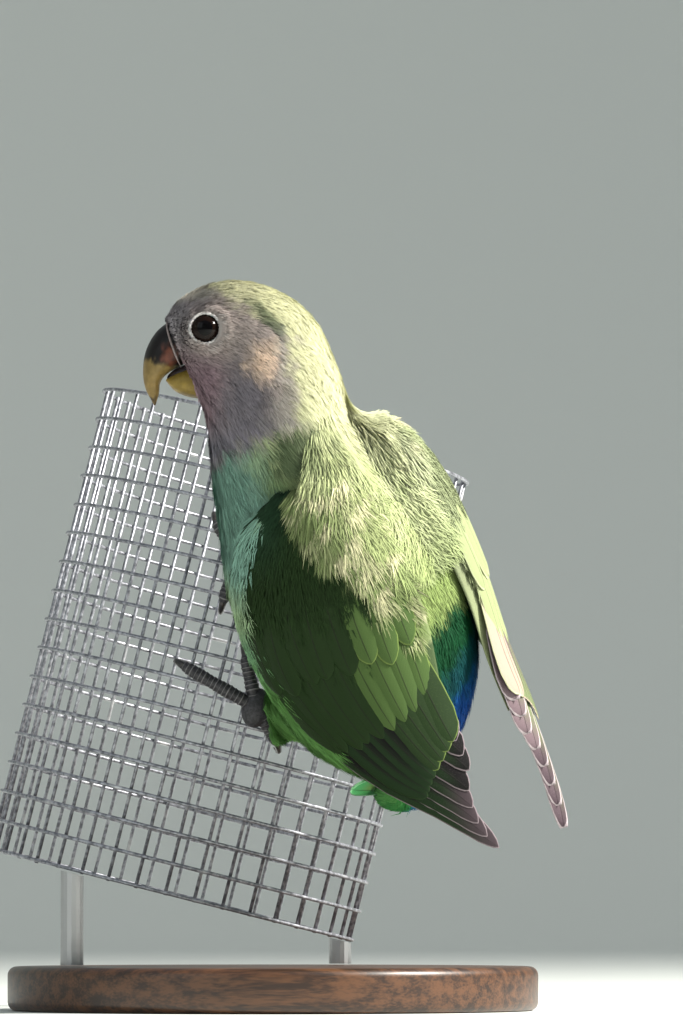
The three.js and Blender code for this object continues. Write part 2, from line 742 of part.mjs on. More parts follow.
// Panel of the mesh: a pierced shell with bars where a wire or a ring runs, cut between two wires
function meshPanel(first) {
  const wireStep = 360 / wiresAround;
  const halfBar = THREE.MathUtils.radToDeg(barWidth / 2 / tubeOuterRadius);
  const halfGap = THREE.MathUtils.radToDeg(gap / 2 / tubeOuterRadius);
  const angles = [wireStep * (first - 0.5) + halfGap];
  for (let wire = first; wire < first + wiresPerPanel; wire += 1) {
    angles.push(wireStep * wire - halfBar, wireStep * wire + halfBar);
  }
  angles.push(wireStep * (first + wiresPerPanel - 0.5) - halfGap);
  const heights = [];
  for (let ring = 0; ring < ringCount; ring += 1) {
    heights.push(2 * meshPitch * ring, 2 * meshPitch * ring + barWidth);
  }
  const positions = [];
  for (const radius of [tubeOuterRadius, tubeInnerRadius]) {
    for (const height of heights) {
      for (const angle of angles) positions.push(...tubePoint(angle, height, radius).toArray());
    }
  }
  const columns = angles.length;
  const rows = heights.length;
  const isBar = (column, row) => {
    const inside = column >= 0 && row >= 0 && column < columns - 1 && row < rows - 1;
    return inside && (column % 2 === 1 || row % 2 === 0);
  };
  const faces = [];
  const quad = (p, q, r, t) => faces.push(p, q, r, p, r, t);
  for (let column = 0; column < columns - 1; column += 1) {
    for (let row = 0; row < rows - 1; row += 1) {
      if (!isBar(column, row)) continue;
      const outer = [[0, 0], [1, 0], [1, 1], [0, 1]].map(([c, r]) => (row + r) * columns + column + c);
      const inner = outer.map((vertex) => vertex + columns * rows);
      quad(...outer);
      quad(inner[3], inner[2], inner[1], inner[0]);
      [[0, -1], [1, 0], [0, 1], [-1, 0]].forEach(([c, r], side) => {
        const next = (side + 1) % 4;
        if (!isBar(column + c, row + r)) quad(outer[next], outer[side], inner[side], inner[next]);
      });
    }
  }
  return outwards(positions, faces);
}
for (let first = 0; first < wiresAround; first += wiresPerPanel) {
  addNode(`perch_panel_${first / wiresPerPanel + 1}`, meshPanel(first), finishes.wire);
}

// Base disc with an eased upper edge
const baseProfile = [
  [0, 0],
  [baseRadius - 1, 0],
  [baseRadius, 1],
  [baseRadius, baseThickness - baseEdge],
  [baseRadius - baseEdge, baseThickness],
  [0, baseThickness],
].map(([x, y]) => new THREE.Vector2(x, y));
const base = new THREE.LatheGeometry(baseProfile, 36);
base.rotateX(Math.PI / 2);
addNode('stand_base', base, finishes.wood);

// Rods from the base up to the tube's lowest ring, with their tops cut along the ring
const rodAngles = { front: -30, back: 110 };
for (const [name, angle] of Object.entries(rodAngles)) {
  const middle = tubePoint(angle, 0, (tubeInnerRadius + tubeOuterRadius) / 2);
  const outline = Array.from({ length: 16 }, (unused, i) => {
    const turn = (2 * Math.PI * i) / 16;
    return new THREE.Vector2(middle.x + Math.cos(turn) * rodRadius, middle.y + Math.sin(turn) * rodRadius);
  });
  const foot = outline.map(({ x, y }) => new THREE.Vector3(x, y, baseThickness + gap));
  const top = outline.map(({ x, y }) => {
    const drop = (x - tubeFoot.x) * tubeAxis.x + (y - tubeFoot.y) * tubeAxis.y + gap;
    return new THREE.Vector3(x, y, tubeFoot.z - drop / tubeAxis.z);
  });
  addNode(`stand_rod_${name}`, loft([foot, top]), finishes.steel);
}

export default part;
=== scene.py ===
import math

import bmesh
import bpy
import numpy as np
from mathutils import Matrix, Vector
from mathutils.bvhtree import BVHTree
from mathutils.kdtree import KDTree


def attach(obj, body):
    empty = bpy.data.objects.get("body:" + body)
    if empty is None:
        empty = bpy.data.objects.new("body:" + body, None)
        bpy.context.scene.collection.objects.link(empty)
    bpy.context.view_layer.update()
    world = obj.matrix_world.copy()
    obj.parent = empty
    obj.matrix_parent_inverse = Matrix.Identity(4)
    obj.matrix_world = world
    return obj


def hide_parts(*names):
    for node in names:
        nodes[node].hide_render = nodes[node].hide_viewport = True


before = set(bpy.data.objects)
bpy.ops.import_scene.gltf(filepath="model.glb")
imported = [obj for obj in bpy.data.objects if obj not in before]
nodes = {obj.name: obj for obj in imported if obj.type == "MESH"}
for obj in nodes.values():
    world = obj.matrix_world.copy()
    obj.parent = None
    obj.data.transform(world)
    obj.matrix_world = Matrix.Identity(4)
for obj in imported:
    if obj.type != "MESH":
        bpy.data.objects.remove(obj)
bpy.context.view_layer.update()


# Camera, floor and lights. The camera looks up a little at the bird from a metre and a half,
# through a long lens. A pale bowl is floor and backdrop at once, and a soft key light stands
# high on the right, behind the bird's back.

CAMERA_PLACE = (0.0155, -1.4972, 0.02143)
CAMERA_TURN = math.radians(93.5)
PICTURE_HEIGHT = 1024
FOCAL_LENGTH_IN_PIXELS = 6600
FLOOR_REACH = 2.6
BOWL_BEND = 1.4
BOWL_HEIGHT = 3.0

camera_data = bpy.data.cameras.new("camera")
camera_data.sensor_width = 36
camera_data.lens = FOCAL_LENGTH_IN_PIXELS * 36 / PICTURE_HEIGHT
camera_data.clip_start = 0.05
camera_data.clip_end = 60
camera = bpy.data.objects.new("camera", camera_data)
camera.location = CAMERA_PLACE
camera.rotation_euler = (CAMERA_TURN, 0, 0)
bpy.context.scene.collection.objects.link(camera)
bpy.context.scene.camera = camera


def new_object(name, mesh):
    """Object at the origin that carries the mesh, with smooth faces."""
    thing = bpy.data.objects.new(name, mesh)
    bpy.context.scene.collection.objects.link(thing)
    mesh.polygons.foreach_set("use_smooth", np.ones(len(mesh.polygons), bool))
    return thing


def finished(name, shape):
    """Object made from a bmesh, which is used up."""
    mesh = bpy.data.meshes.new(name)
    shape.to_mesh(mesh)
    shape.free()
    return new_object(name, mesh)


class Value:
    """Shader socket that adds Math nodes when it is used in an expression."""

    def __init__(self, finish, socket):
        self.finish = finish
        self.socket = socket

    def math(self, operation, *others):
        inputs = {i: value for i, value in enumerate((self, *others))}
        return self.finish.node("ShaderNodeMath", {"operation": operation}, inputs)

    def __add__(self, other):
        return self.math("ADD", other)

    def __mul__(self, other):
        return self.math("MULTIPLY", other)

    __radd__ = __add__
    __rmul__ = __mul__

    def ramp(self, low, high):
        """0 below low, 1 above high, smooth between; low may be the larger."""
        inputs = {"Value": self, "From Min": low, "From Max": high}
        return self.finish.node("ShaderNodeMapRange", {"interpolation_type": "SMOOTHSTEP"}, inputs)


class Finish:
    """Material with a Principled shader, whose nodes are added through one method."""

    def __init__(self, name, **flat):
        self.material = bpy.data.materials.new(name)
        self.material.use_nodes = True
        self.tree = self.material.node_tree
        self.shader = self.tree.nodes["Principled BSDF"]
        self.set(**flat)

    def node(self, kind, settings=None, inputs=None, output=0):
        node = self.tree.nodes.new(kind)
        for name, value in (settings or {}).items():
            setattr(node, name, value)
        for name, value in (inputs or {}).items():
            self.link(node.inputs[name], value)
        return Value(self, node.outputs[output])

    def link(self, socket, value):
        if isinstance(value, Value):
            self.tree.links.new(value.socket, socket)
        else:
            socket.default_value = value

    def set(self, **values):
        for name, value in values.items():
            self.link(self.shader.inputs[name.replace("_", " ")], value)

    def place(self):
        return self.node("ShaderNodeTexCoord", output="Object")

    def noise(self, scale, detail=2.0, vector=None):
        inputs = {"Vector": vector or self.place(), "Scale": scale, "Detail": detail}
        return self.node("ShaderNodeTexNoise", None, inputs)

    def attribute(self, name, output="Fac"):
        return self.node("ShaderNodeAttribute", {"attribute_name": name}, None, output)

    def mix(self, factor, first, second, blend="MIX"):
        settings = {"data_type": "RGBA", "blend_type": blend}
        inputs = {0: factor, 6: first, 7: second}
        return self.node("ShaderNodeMix", settings, inputs, 2)

    def bump(self, height, strength, distance=0.0002):
        inputs = {"Strength": strength, "Distance": distance, "Height": height}
        self.set(Normal=self.node("ShaderNodeBump", None, inputs))


def shade(code, alpha=True):
    """Linear colour from a hex code."""
    parts = [int(code[i:i + 2], 16) / 255 for i in (0, 2, 4)]
    linear = [c / 12.92 if c <= 0.04045 else ((c + 0.055) / 1.055) ** 2.4 for c in parts]
    return (*linear, 1.0) if alpha else np.array(linear)


bowl = bmesh.new()
rim = [(0, 0), (FLOOR_REACH, 0)]
for turn in np.linspace(0.1, 1.5, 12):
    rim.append((FLOOR_REACH + BOWL_BEND * math.sin(turn), BOWL_BEND - BOWL_BEND * math.cos(turn)))
rim.append((FLOOR_REACH + BOWL_BEND, BOWL_HEIGHT))
rim_points = [bowl.verts.new((x, 0, z)) for x, z in rim]
rim_edges = [bowl.edges.new(pair) for pair in zip(rim_points, rim_points[1:])]
bmesh.ops.spin(
    bowl, geom=rim_points + rim_edges, cent=(0, 0, 0), axis=(0, 0, 1),
    angle=2 * math.pi, steps=96, use_merge=True,
)
bmesh.ops.remove_doubles(bowl, verts=bowl.verts, dist=1e-5)
bmesh.ops.recalc_face_normals(bowl, faces=bowl.faces)
bmesh.ops.reverse_faces(bowl, faces=bowl.faces)
floor = finished("floor", bowl)
pale_paper = Finish("pale_paper", Base_Color=shade("dde1dd"), Roughness=0.9)
floor.data.materials.append(pale_paper.material)

bird_middle = Vector((0.01, -0.04, 0.09))


def soft_light(name, toward, distance, size, power, colour):
    """Square area light that stands in the given direction and faces the bird."""
    data = bpy.data.lights.new(name, "AREA")
    data.size = size
    data.energy = power
    data.color = colour
    light = bpy.data.objects.new(name, data)
    away = Vector(toward).normalized()
    light.location = bird_middle + away * distance
    light.rotation_euler = away.to_track_quat("Z", "Y").to_euler()
    bpy.context.scene.collection.objects.link(light)


soft_light("key", (0.8, -0.18, 0.64), 1.5, 0.26, 66, (1.0, 0.97, 0.9))
soft_light("fill", (-0.7, -0.8, 0.5), 1.8, 1.2, 3.5, (0.86, 0.94, 1.0))
world = bpy.data.worlds.new("pale_room")
world.use_nodes = True
world.node_tree.nodes["Background"].inputs["Color"].default_value = (0.86, 0.93, 1.0, 1.0)
world.node_tree.nodes["Background"].inputs["Strength"].default_value = 0.36
bpy.context.scene.world = world
bpy.context.scene.view_settings.view_transform = "Standard"


# Perch: a cut length of welded tube of galvanised wire. Forty upright wires stand inside
# seventeen hoops, and every crossing is welded, which leaves a small blob of zinc.

MM = 0.001
TUBE_FOOT = Vector((-24.2, 28, 26))
TUBE_TILT = math.radians(14.2)
WIRE_RADIUS = 0.42
UPRIGHT_RADIUS = 42.72
HOOP_RADIUS = 43.42
MESH_PITCH = 6.8
UPRIGHTS = 40
HOOPS = 17
FIRST_HOOP = 0.5
WIRE_SIDES = 8
WELD_RADIUS = WIRE_RADIUS * 1.3

chance = np.random.default_rng(20)
tube_turn = Matrix.Rotation(TUBE_TILT, 4, "Y")
tube_place = Matrix.Translation(TUBE_FOOT) @ tube_turn


def on_tube(angle, height, radius):
    """Point beside the tube, by its angle from the front in degrees, in millimetres."""
    turn = math.radians(angle)
    return tube_place @ Vector((math.sin(turn) * radius, -math.cos(turn) * radius, height))


def copies(name, shape, placements):
    """Object of one shape set at many placements, joined. The shape is used up."""
    shape.verts.index_update()
    corners = np.array([[*vertex.co, 1] for vertex in shape.verts])
    faces = [[vertex.index for vertex in face.verts] for face in shape.faces]
    shape.free()
    points = np.concatenate([corners @ np.array(placement).T for placement in placements])[:, :3]
    many = [[i + len(corners) * k for i in face] for k in range(len(placements)) for face in faces]
    mesh = bpy.data.meshes.new(name)
    mesh.from_pydata(points * MM, [], many)
    return new_object(name, mesh)


def round_turn(angle):
    return Matrix.Rotation(angle, 4, "Z")


def jitter(size):
    return Matrix.Translation(chance.normal(0, size, 3))


hoop = bmesh.new()
section = bmesh.ops.create_circle(hoop, segments=WIRE_SIDES, radius=WIRE_RADIUS)["verts"]
bmesh.ops.rotate(hoop, verts=section, matrix=Matrix.Rotation(math.pi / 2, 3, "X"))
bmesh.ops.translate(hoop, verts=section, vec=(HOOP_RADIUS, 0, FIRST_HOOP))
bmesh.ops.spin(
    hoop, geom=hoop.verts[:] + hoop.edges[:], cent=(0, 0, 0), axis=(0, 0, 1),
    angle=2 * math.pi, steps=120, use_merge=True,
)
bmesh.ops.recalc_face_normals(hoop, faces=hoop.faces)
hoop_places = [
    tube_place @ Matrix.Translation((0, 0, MESH_PITCH * k)) @ jitter(0.04) @ round_turn(k)
    for k in range(HOOPS)
]
upright = bmesh.new()
tube_length = MESH_PITCH * (HOOPS - 1)
bmesh.ops.create_cone(
    upright, cap_ends=True, segments=WIRE_SIDES, radius1=WIRE_RADIUS, radius2=WIRE_RADIUS,
    depth=tube_length + 2 * FIRST_HOOP,
)
bmesh.ops.translate(upright, verts=upright.verts, vec=(0, 0, tube_length / 2 + FIRST_HOOP))
for k in range(HOOPS):
    weld = bmesh.ops.create_icosphere(upright, subdivisions=1, radius=WELD_RADIUS)["verts"]
    bmesh.ops.translate(upright, verts=weld, vec=(0, -0.3, FIRST_HOOP + MESH_PITCH * k))
bmesh.ops.translate(upright, verts=upright.verts, vec=(0, -UPRIGHT_RADIUS, 0))
bmesh.ops.recalc_face_normals(upright, faces=upright.faces)
upright_places = [
    tube_place @ round_turn(2 * math.pi * k / UPRIGHTS) @ jitter(0.05) for k in range(UPRIGHTS)
]
hoops = copies("wire_hoops", hoop, hoop_places)
uprights = copies("wire_uprights", upright, upright_places)

galvanised = Finish("galvanised_wire", Metallic=0.75)
zinc_patches = galvanised.noise(900, 4.0)
zinc_cloud = galvanised.noise(120, 3.0)
dull_zinc = galvanised.mix(zinc_patches.ramp(0.35, 0.7), shade("77787f"), shade("b9bac2"))
galvanised.set(
    Base_Color=galvanised.mix(zinc_cloud.ramp(0.6, 0.78), dull_zinc, shade("d8d8da")),
    Roughness=0.32 + zinc_patches * 0.3,
)
galvanised.bump(zinc_patches, 0.35, 0.0001)
for wires in (hoops, uprights):
    wires.data.materials.append(galvanised.material)
    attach(wires, "root")
    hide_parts(*[name for name in nodes if name.startswith("perch_")])


# Stand: a turned disc of stained wood with an eased edge, and two short steel rods that carry
# the tube's lowest hoop.

stained_wood = Finish("stained_wood", Roughness=0.42, Coat_Weight=0.25, Coat_Roughness=0.25)
grain_place = stained_wood.node(
    "ShaderNodeMapping", None, {"Vector": stained_wood.place(), "Scale": (14, 160, 160)}
)
grain = stained_wood.noise(3, 5.0, grain_place)
fine_grain = stained_wood.noise(14, 4.0, grain_place)
grain_tone = grain * 0.6 + fine_grain * 0.4
stained_wood.set(
    Base_Color=stained_wood.mix(grain_tone.ramp(0.38, 0.62), shade("2c1a10"), shade("5d3c25"))
)
stained_wood.bump(fine_grain, 0.2, 0.0001)
brushed_steel = Finish("brushed_steel", Metallic=1.0, Base_Color=shade("b4b4b6"))
turning = brushed_steel.node(
    "ShaderNodeMapping", None, {"Vector": brushed_steel.place(), "Scale": (40, 40, 4000)}
)
brushed_steel.set(Roughness=0.22 + brushed_steel.noise(1.2, 2.0, turning) * 0.25)
for name in ("stand_rod_front", "stand_rod_back"):
    nodes[name].data.materials.clear()
    nodes[name].data.materials.append(brushed_steel.material)

BASE_RADIUS = 60
BASE_HEIGHT = 10
BASE_EDGE = 2
disc = bmesh.new()
profile = [(0, 0), (BASE_RADIUS - BASE_EDGE, 0)]
for centre_height, first_angle in ((BASE_EDGE, -90), (BASE_HEIGHT - BASE_EDGE, 0)):
    for step in range(7):
        angle = math.radians(first_angle + 15 * step)
        profile.append((
            BASE_RADIUS - BASE_EDGE + BASE_EDGE * math.cos(angle),
            centre_height + BASE_EDGE * math.sin(angle),
        ))
profile.append((0, BASE_HEIGHT))
rim_corners = [disc.verts.new((reach * MM, 0, height * MM)) for reach, height in profile]
for pair in zip(rim_corners, rim_corners[1:]):
    disc.edges.new(pair)
bmesh.ops.spin(
    disc, geom=disc.verts[:] + disc.edges[:], cent=(0, 0, 0), axis=(0, 0, 1),
    angle=2 * math.pi, steps=180, use_merge=True,
)
bmesh.ops.remove_doubles(disc, verts=disc.verts, dist=1e-7)
bmesh.ops.recalc_face_normals(disc, faces=disc.faces)
base_disc = finished("base_disc", disc)
base_disc.data.materials.append(stained_wood.material)
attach(base_disc, "root")
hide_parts("stand_base")


# Skin: one closed surface from crown to rump and down both legs, a coat's depth below the
# solids. It carries the markings of the plumage, so that nothing pale shows between the tufts.
# The bird is a young one: its face is a greyish pink, its body green and its rump blue.

TRUNK_CENTRE = np.array((16.3, -45, 93.7))
HEAD_CENTRE = np.array((-6, -62, 145.3))
EYE_PLACE = (9.9, -8, 3)
PALMS = {"left": (12, 45.7), "right": (-3, 77)}
PALM_RADIUS = 46.6
TRUNK_LEAN = math.radians(27)
TRUNK_STANDS_OFF = math.radians(22)
BACK_TURN = math.radians(50)

trunk_up = Vector((-math.sin(TRUNK_LEAN), -math.tan(TRUNK_STANDS_OFF), math.cos(TRUNK_LEAN)))
trunk_up.normalize()
back_guess = Vector((math.sin(BACK_TURN), -math.cos(BACK_TURN), 0))
trunk_back = (back_guess - trunk_up * back_guess.dot(trunk_up)).normalized()
trunk_axes = np.array((trunk_back.cross(trunk_up), trunk_back, trunk_up))
head_axes = np.array(((0, -1, 0), (1, 0, 0), (0, 0, 1)), float)


def in_trunk(points):
    """Distances to the left side, behind and up in the trunk's own frame, in millimetres."""
    return (points - TRUNK_CENTRE) @ trunk_axes.T


def in_head(points):
    return (points - HEAD_CENTRE) @ head_axes.T


def from_head(side, back, up):
    return HEAD_CENTRE + np.array((side, back, up)) @ head_axes


def from_trunk(side, back, up):
    return TRUNK_CENTRE + np.array((side, back, up)) @ trunk_axes


def rise(values, low, high):
    """Smooth step between two values, in numpy."""
    share = np.clip((values - low) / (high - low), 0, 1)
    return share * share * (3 - 2 * share)


def cloud(points, size, seed):
    """Smooth random field from a few waves, about -1 to 1, with features of the given size."""
    waves = np.random.default_rng(seed)
    ways = waves.normal(size=(9, 3))
    ways /= np.linalg.norm(ways, axis=1, keepdims=True)
    ways *= waves.uniform(0.7, 1.5, (9, 1)) * 2 * math.pi / size
    return np.sin(points @ ways.T + waves.uniform(0, 6.3, 9)).sum(1) / 3


def paint(colour, code, mask):
    colour += (shade(code, False) - colour) * np.clip(mask, 0, 1)[:, None]


palm_points = {name: np.array(on_tube(*palm, PALM_RADIUS)) for name, palm in PALMS.items()}


def paint_body(colour, points, fray):
    """Pale green back, lower back darkened as painted shade, mint flank, green belly and blue rump."""
    side, back, up = in_trunk(points).T
    low = fray - up
    paint(colour, "cacca6", rise(cloud(points, 9, 5), 0.1, 0.9) * 0.6)
    paint(colour, "93a368", rise(cloud(points, 7, 6), 0.2, 1) * 0.5)
    # Painted shade: darker green over the lower back.
    paint(colour, "7f9156", rise(low, -20, 0) * rise(back, 0, 10))
    flank = 0.55 * np.abs(side) - back + fray
    paint(colour, "71905f", rise(flank, -9, -1) * rise(up, 14, 26) * 0.8)
    front = rise(flank, -4, 5)
    paint(colour, "779c8d", front * rise(up, 8, 22))
    paint(colour, "749b78", front * rise(-up, -22, -2))
    paint(colour, "5b8748", front * rise(low, -6, 8))
    ragged_low = fray * 1.5 - up
    rump = rise(ragged_low + (back - 12) * 0.15, 7, 11) * rise(back, 2, 8)
    paint(colour, "0b3c21", rump)
    paint(colour, "0a3b41", rump * rise(ragged_low - side * 0.25, 16, 24))
    paint(colour, "134690", rump * rise(back, 3, 9) * rise(ragged_low - side * 0.25, 25, 33))
    paint(colour, "4c8f4a", rise(-up, 39, 44))


def paint_head(colour, points, fray):
    """Nape and crown painted pale, partly as painted light, round a greyish pink face with its dark
    streaks, painted shade under the cheek and a warm patch of painted light on the cheek.
    """
    back, up = in_head(points).T[1:]
    crown_line = (back + 9.1) * 0.455 + (up - 11.3) * 0.89
    nape_line = back - 9.6 - cloud(points, 6, 7)
    throat_line = (back - 9.8) * 0.402 - (up + 15.8) * 0.915
    outside = np.maximum(np.maximum(crown_line, nape_line), throat_line)
    face = rise(fray * 0.8 - outside, -1.8, 1.2)
    # The pale cream over the head, the crown and the nape is partly painted light where the light falls.
    paint(colour, "b9bb90", rise(up, -12, -4))
    paint(colour, "c8c8a2", rise(back, -6, 10) * rise(up, -30, -10))
    neck_shade = rise(7 + fray - np.abs(back - 11), 0, 3)
    paint(colour, "3f5239", neck_shade * rise(-np.abs(up + 22), -8, -3) * 0.85)
    paint(colour, "c6c4a2", rise(up, 4, 9) * rise(-back, -8, 3))
    paint(colour, "a79b96", face)
    paint(colour, "8d878b", face * rise(up * 0.4 - back, 9, 17))
    paint(colour, "bdb8ac", face * rise(up - 0.25 * back, 10.5, 13) * 0.8)
    paint(colour, "9a828a", face * rise(-up - back * 0.3, 2, 9) * rise(-back, 0, 8))
    paint(colour, "85828b", face * rise(-up, 14, 20))
    # Painted shade: a darker bluish grey patch under the cheek.
    shade_under_cheek = np.hypot(back * 0.9, (up + 14) * 0.5)
    paint(colour, "78737c", face * rise(fray * 0.5 - shade_under_cheek, -8, -2) * 0.9)
    # Painted light: a pale warm patch where the light falls on the cheek.
    cheek = np.hypot(back - 3.6, (up + 3.4) * 0.8)
    paint(colour, "e2c8b0", face * rise(fray - cheek, -5.2, -1.5) * 0.85)
    paint(colour, "aaa69c", face * rise(back + fray, 5, 8) * 0.6)
    collar = rise(fray * 0.6 - np.abs(throat_line - 0.6), -0.9, 0.4)
    paint(colour, "5f6c5e", collar * rise(-np.abs(back + 1), -6, -1) * 0.6)
    streak = np.hypot((back - 4.2) * 0.6, (up - 5.4 + (back - 4.2) * 0.7) * 1.3)
    paint(colour, "4b5a43", rise(fray * 0.6 - streak, -3.4, -1) * 0.75)
    speck = rise(cloud(points, 1.1, 11), 0.55, 1.1)
    paint(colour, "4a4a4a", speck * face * 0.35 * rise(back, -1, 3))
    eye_gap = np.hypot(back - EYE_PLACE[1], up - EYE_PLACE[2])
    paint(colour, "c9c2bf", rise(-eye_gap, -4.1, -3.7) * face * 0.35)


def plumage(points):
    """Colour of skin and coat at points on the body, in millimetres."""
    fray = cloud(points, 5, 3) * 0.8 + cloud(points, 2.2, 4) * 0.5
    colour = np.tile(shade("b0b78a", False), (len(points), 1))
    paint_body(colour, points, fray)
    paint_head(colour, points, fray)
    for palm in palm_points.values():
        paint(colour, "2b2a2e", rise(-np.linalg.norm(points - palm, axis=1), -7, -5.5))
    return colour


def grown_copy(names, grow):
    """Bmesh of CAD nodes in millimetres, merged and moved out along its normals."""
    shape = bmesh.new()
    for name in names:
        shape.from_mesh(nodes[name].data)
    bmesh.ops.remove_doubles(shape, verts=shape.verts, dist=1e-6)
    bmesh.ops.scale(shape, vec=(1 / MM, 1 / MM, 1 / MM), verts=shape.verts)
    shape.normal_update()
    for vertex, normal in [(vertex, vertex.normal.copy()) for vertex in shape.verts]:
        vertex.co += normal * grow
    return shape


def one_surface(shape, voxel, smoothing):
    """Bmesh of the outer surface of closed pieces that overlap, smoothed."""
    mesh = bpy.data.meshes.new("rough")
    shape.to_mesh(mesh)
    shape.free()
    rough = new_object("rough", mesh)
    remesh = rough.modifiers.new("remesh", "REMESH")
    remesh.mode = "VOXEL"
    remesh.voxel_size = voxel
    evaluated = rough.evaluated_get(bpy.context.evaluated_depsgraph_get())
    result = bmesh.new()
    result.from_mesh(evaluated.to_mesh())
    bpy.data.objects.remove(rough)
    bpy.data.meshes.remove(mesh)
    for _ in range(smoothing):
        bmesh.ops.smooth_vert(
            result, verts=result.verts, factor=0.5, use_axis_x=True, use_axis_y=True, use_axis_z=True,
        )
    result.normal_update()
    return result


SKIN_GRAIN = 0.7
BODY_COAT_DEPTH = 1.7
FACE_COAT_THINNER = 0.7

flesh = ["torso", "neck", "head", "leg_left", "leg_right"]
skin_shape = one_surface(grown_copy(flesh, 0.4), SKIN_GRAIN, 6)
places = np.array([vertex.co[:] for vertex in skin_shape.verts])
head_share = rise(in_head(places)[:, 2], -20, -8)
depth = BODY_COAT_DEPTH - FACE_COAT_THINNER * head_share
for palm in palm_points.values():
    depth *= rise(np.linalg.norm(places - palm, axis=1), 8, 18) * 0.8 + 0.2
side_spot, back_spot, up_spot = in_head(places).T
eye_near = rise(-np.hypot(back_spot - EYE_PLACE[1], up_spot - EYE_PLACE[2]), -6, -4.4)
depth *= 1 - 0.9 * eye_near * rise(np.abs(side_spot), 5, 8)
for vertex, sink in zip(skin_shape.verts, depth):
    vertex.co -= vertex.normal * (sink + 0.3)
skin_shape.normal_update()


def unwrap(thing):
    """UV map named for the bake, on an unwrap of the piece's own shape."""
    bpy.context.view_layer.objects.active = thing
    thing.select_set(True)
    thing.data.uv_layers.new(name="OFBake")
    bpy.ops.object.mode_set(mode="EDIT")
    bpy.ops.mesh.select_all(action="SELECT")
    bpy.ops.uv.smart_project(angle_limit=math.radians(66), island_margin=0.004)
    bpy.ops.object.mode_set(mode="OBJECT")
    thing.select_set(False)


def set_colour(mesh, colour, name="plumage"):
    layer = mesh.attributes.new(name, "FLOAT_COLOR", "POINT")
    opaque = np.column_stack((colour, np.ones(len(colour))))
    layer.data.foreach_set("color", opaque.astype(np.float32).ravel())


def set_number(mesh, name, values):
    layer = mesh.attributes.new(name, "FLOAT", "POINT")
    layer.data.foreach_set("value", np.asarray(values, np.float32))


skin_places = np.array([vertex.co[:] for vertex in skin_shape.verts])
skin_normals = np.array([vertex.normal[:] for vertex in skin_shape.verts])
skin_tree = BVHTree.FromBMesh(skin_shape)
bmesh.ops.scale(skin_shape, vec=(MM, MM, MM), verts=skin_shape.verts)
skin = finished("plumage_skin", skin_shape)
unwrap(skin)
# The skin is three quarters as bright as the coat, painted shade under the tufts; at the lore it is as
# bright as the coat.
lore = rise(-in_head(skin_places)[:, 1], 9, 13) * head_share
set_colour(skin.data, plumage(skin_places) * (0.75 + 0.25 * lore)[:, None])
down = Finish("down", Roughness=0.9)
down.set(Base_Color=down.attribute("plumage", "Color"))
down.bump(down.noise(2500, 3.0), 0.6, 0.0003)
skin.data.materials.append(down.material)
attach(skin, "root")
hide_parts(*flesh)


def vertex_uvs(thing):
    """UV place of each vertex of an unwrapped piece."""
    corner_vertex = np.empty(len(thing.data.loops), np.int32)
    corner_uv = np.empty(len(thing.data.loops) * 2, np.float32)
    thing.data.loops.foreach_get("vertex_index", corner_vertex)
    thing.data.uv_layers["OFBake"].data.foreach_get("uv", corner_uv)
    uvs = np.zeros((len(thing.data.vertices), 2))
    uvs[corner_vertex] = corner_uv.reshape(-1, 2)
    return uvs


uv_of_vertex = vertex_uvs(skin)


# Wings: each lies folded over the flank on a form that is a little fuller than the trunk. Places
# on it are distances round from the spine and up along the trunk, and a height off the form. The
# leading edge and the inner edge of a wing are two rails on this form.

# Height up the trunk, the centre's place to the side and behind, the share of the head's turn,
# and the half width, the depth behind and the depth in front.
FORM_ROWS = (
    (-76, 0, 2, 0, 20, 17, 17),
    (-51, 0, 2, 0, 22.5, 17.5, 20),
    (-29, 0, 1.5, 0, 25, 19, 26),
    (-10, -1.5, 0.5, 0, 26.5, 22.5, 27),
    (9, -1.5, 2, 0, 26, 22.5, 27),
    (25, -1, 3.5, 0.03, 21.5, 19.5, 22.5),
    (38.5, -1.5, 3, 0.25, 17.3, 15.5, 17.5),
    (49, -3, 2, 0.6, 15.5, 17.3, 14.5),
)
UNROLL_RADIUS = 28
WING_CLEARANCE = 0.9

# For each wing the side it lies on, then its leading edge and its inner edge from root to tip.
WING_RAILS = {
    "left": (
        1,
        [(35, 32), (48, 24), (54.5, 8), (53.5, -12), (42, -33), (26.5, -48.5), (14.5, -63)],
        [(8, 31), (6, 19), (6, 0), (8, -19), (11, -37), (12, -51), (13, -63)],
    ),
    "right": (
        -1,
        [(30, 31), (43, 23), (50, 6), (49, -12), (39, -33), (26, -52), (11, -72)],
        [(8, 31), (6, 19), (6, 0), (8, -19), (9, -37), (9, -54), (9, -68)],
    ),
}


def smooth_table(keys, table):
    """Smooth curve through rows of numbers, read at an array of keys."""
    keys = np.asarray(keys, float)
    table = np.asarray(table, float)
    slopes = np.empty_like(table)
    slopes[1:-1] = (table[2:] - table[:-2]) / (keys[2:] - keys[:-2])[:, None]
    slopes[0] = (table[1] - table[0]) / (keys[1] - keys[0])
    slopes[-1] = (table[-1] - table[-2]) / (keys[-1] - keys[-2])

    def read(at):
        at = np.asarray(at, float)
        index = np.clip(np.searchsorted(keys, at) - 1, 0, len(keys) - 2)
        span = keys[index + 1] - keys[index]
        t = ((at - keys[index]) / span)[:, None]
        span = span[:, None]
        blend = 3 * t**2 - 2 * t**3
        start = (t**3 - 2 * t**2 + t) * slopes[index] * span
        end = (t**3 - t**2) * slopes[index + 1] * span
        return table[index] * (1 - blend) + table[index + 1] * blend + start + end

    return read


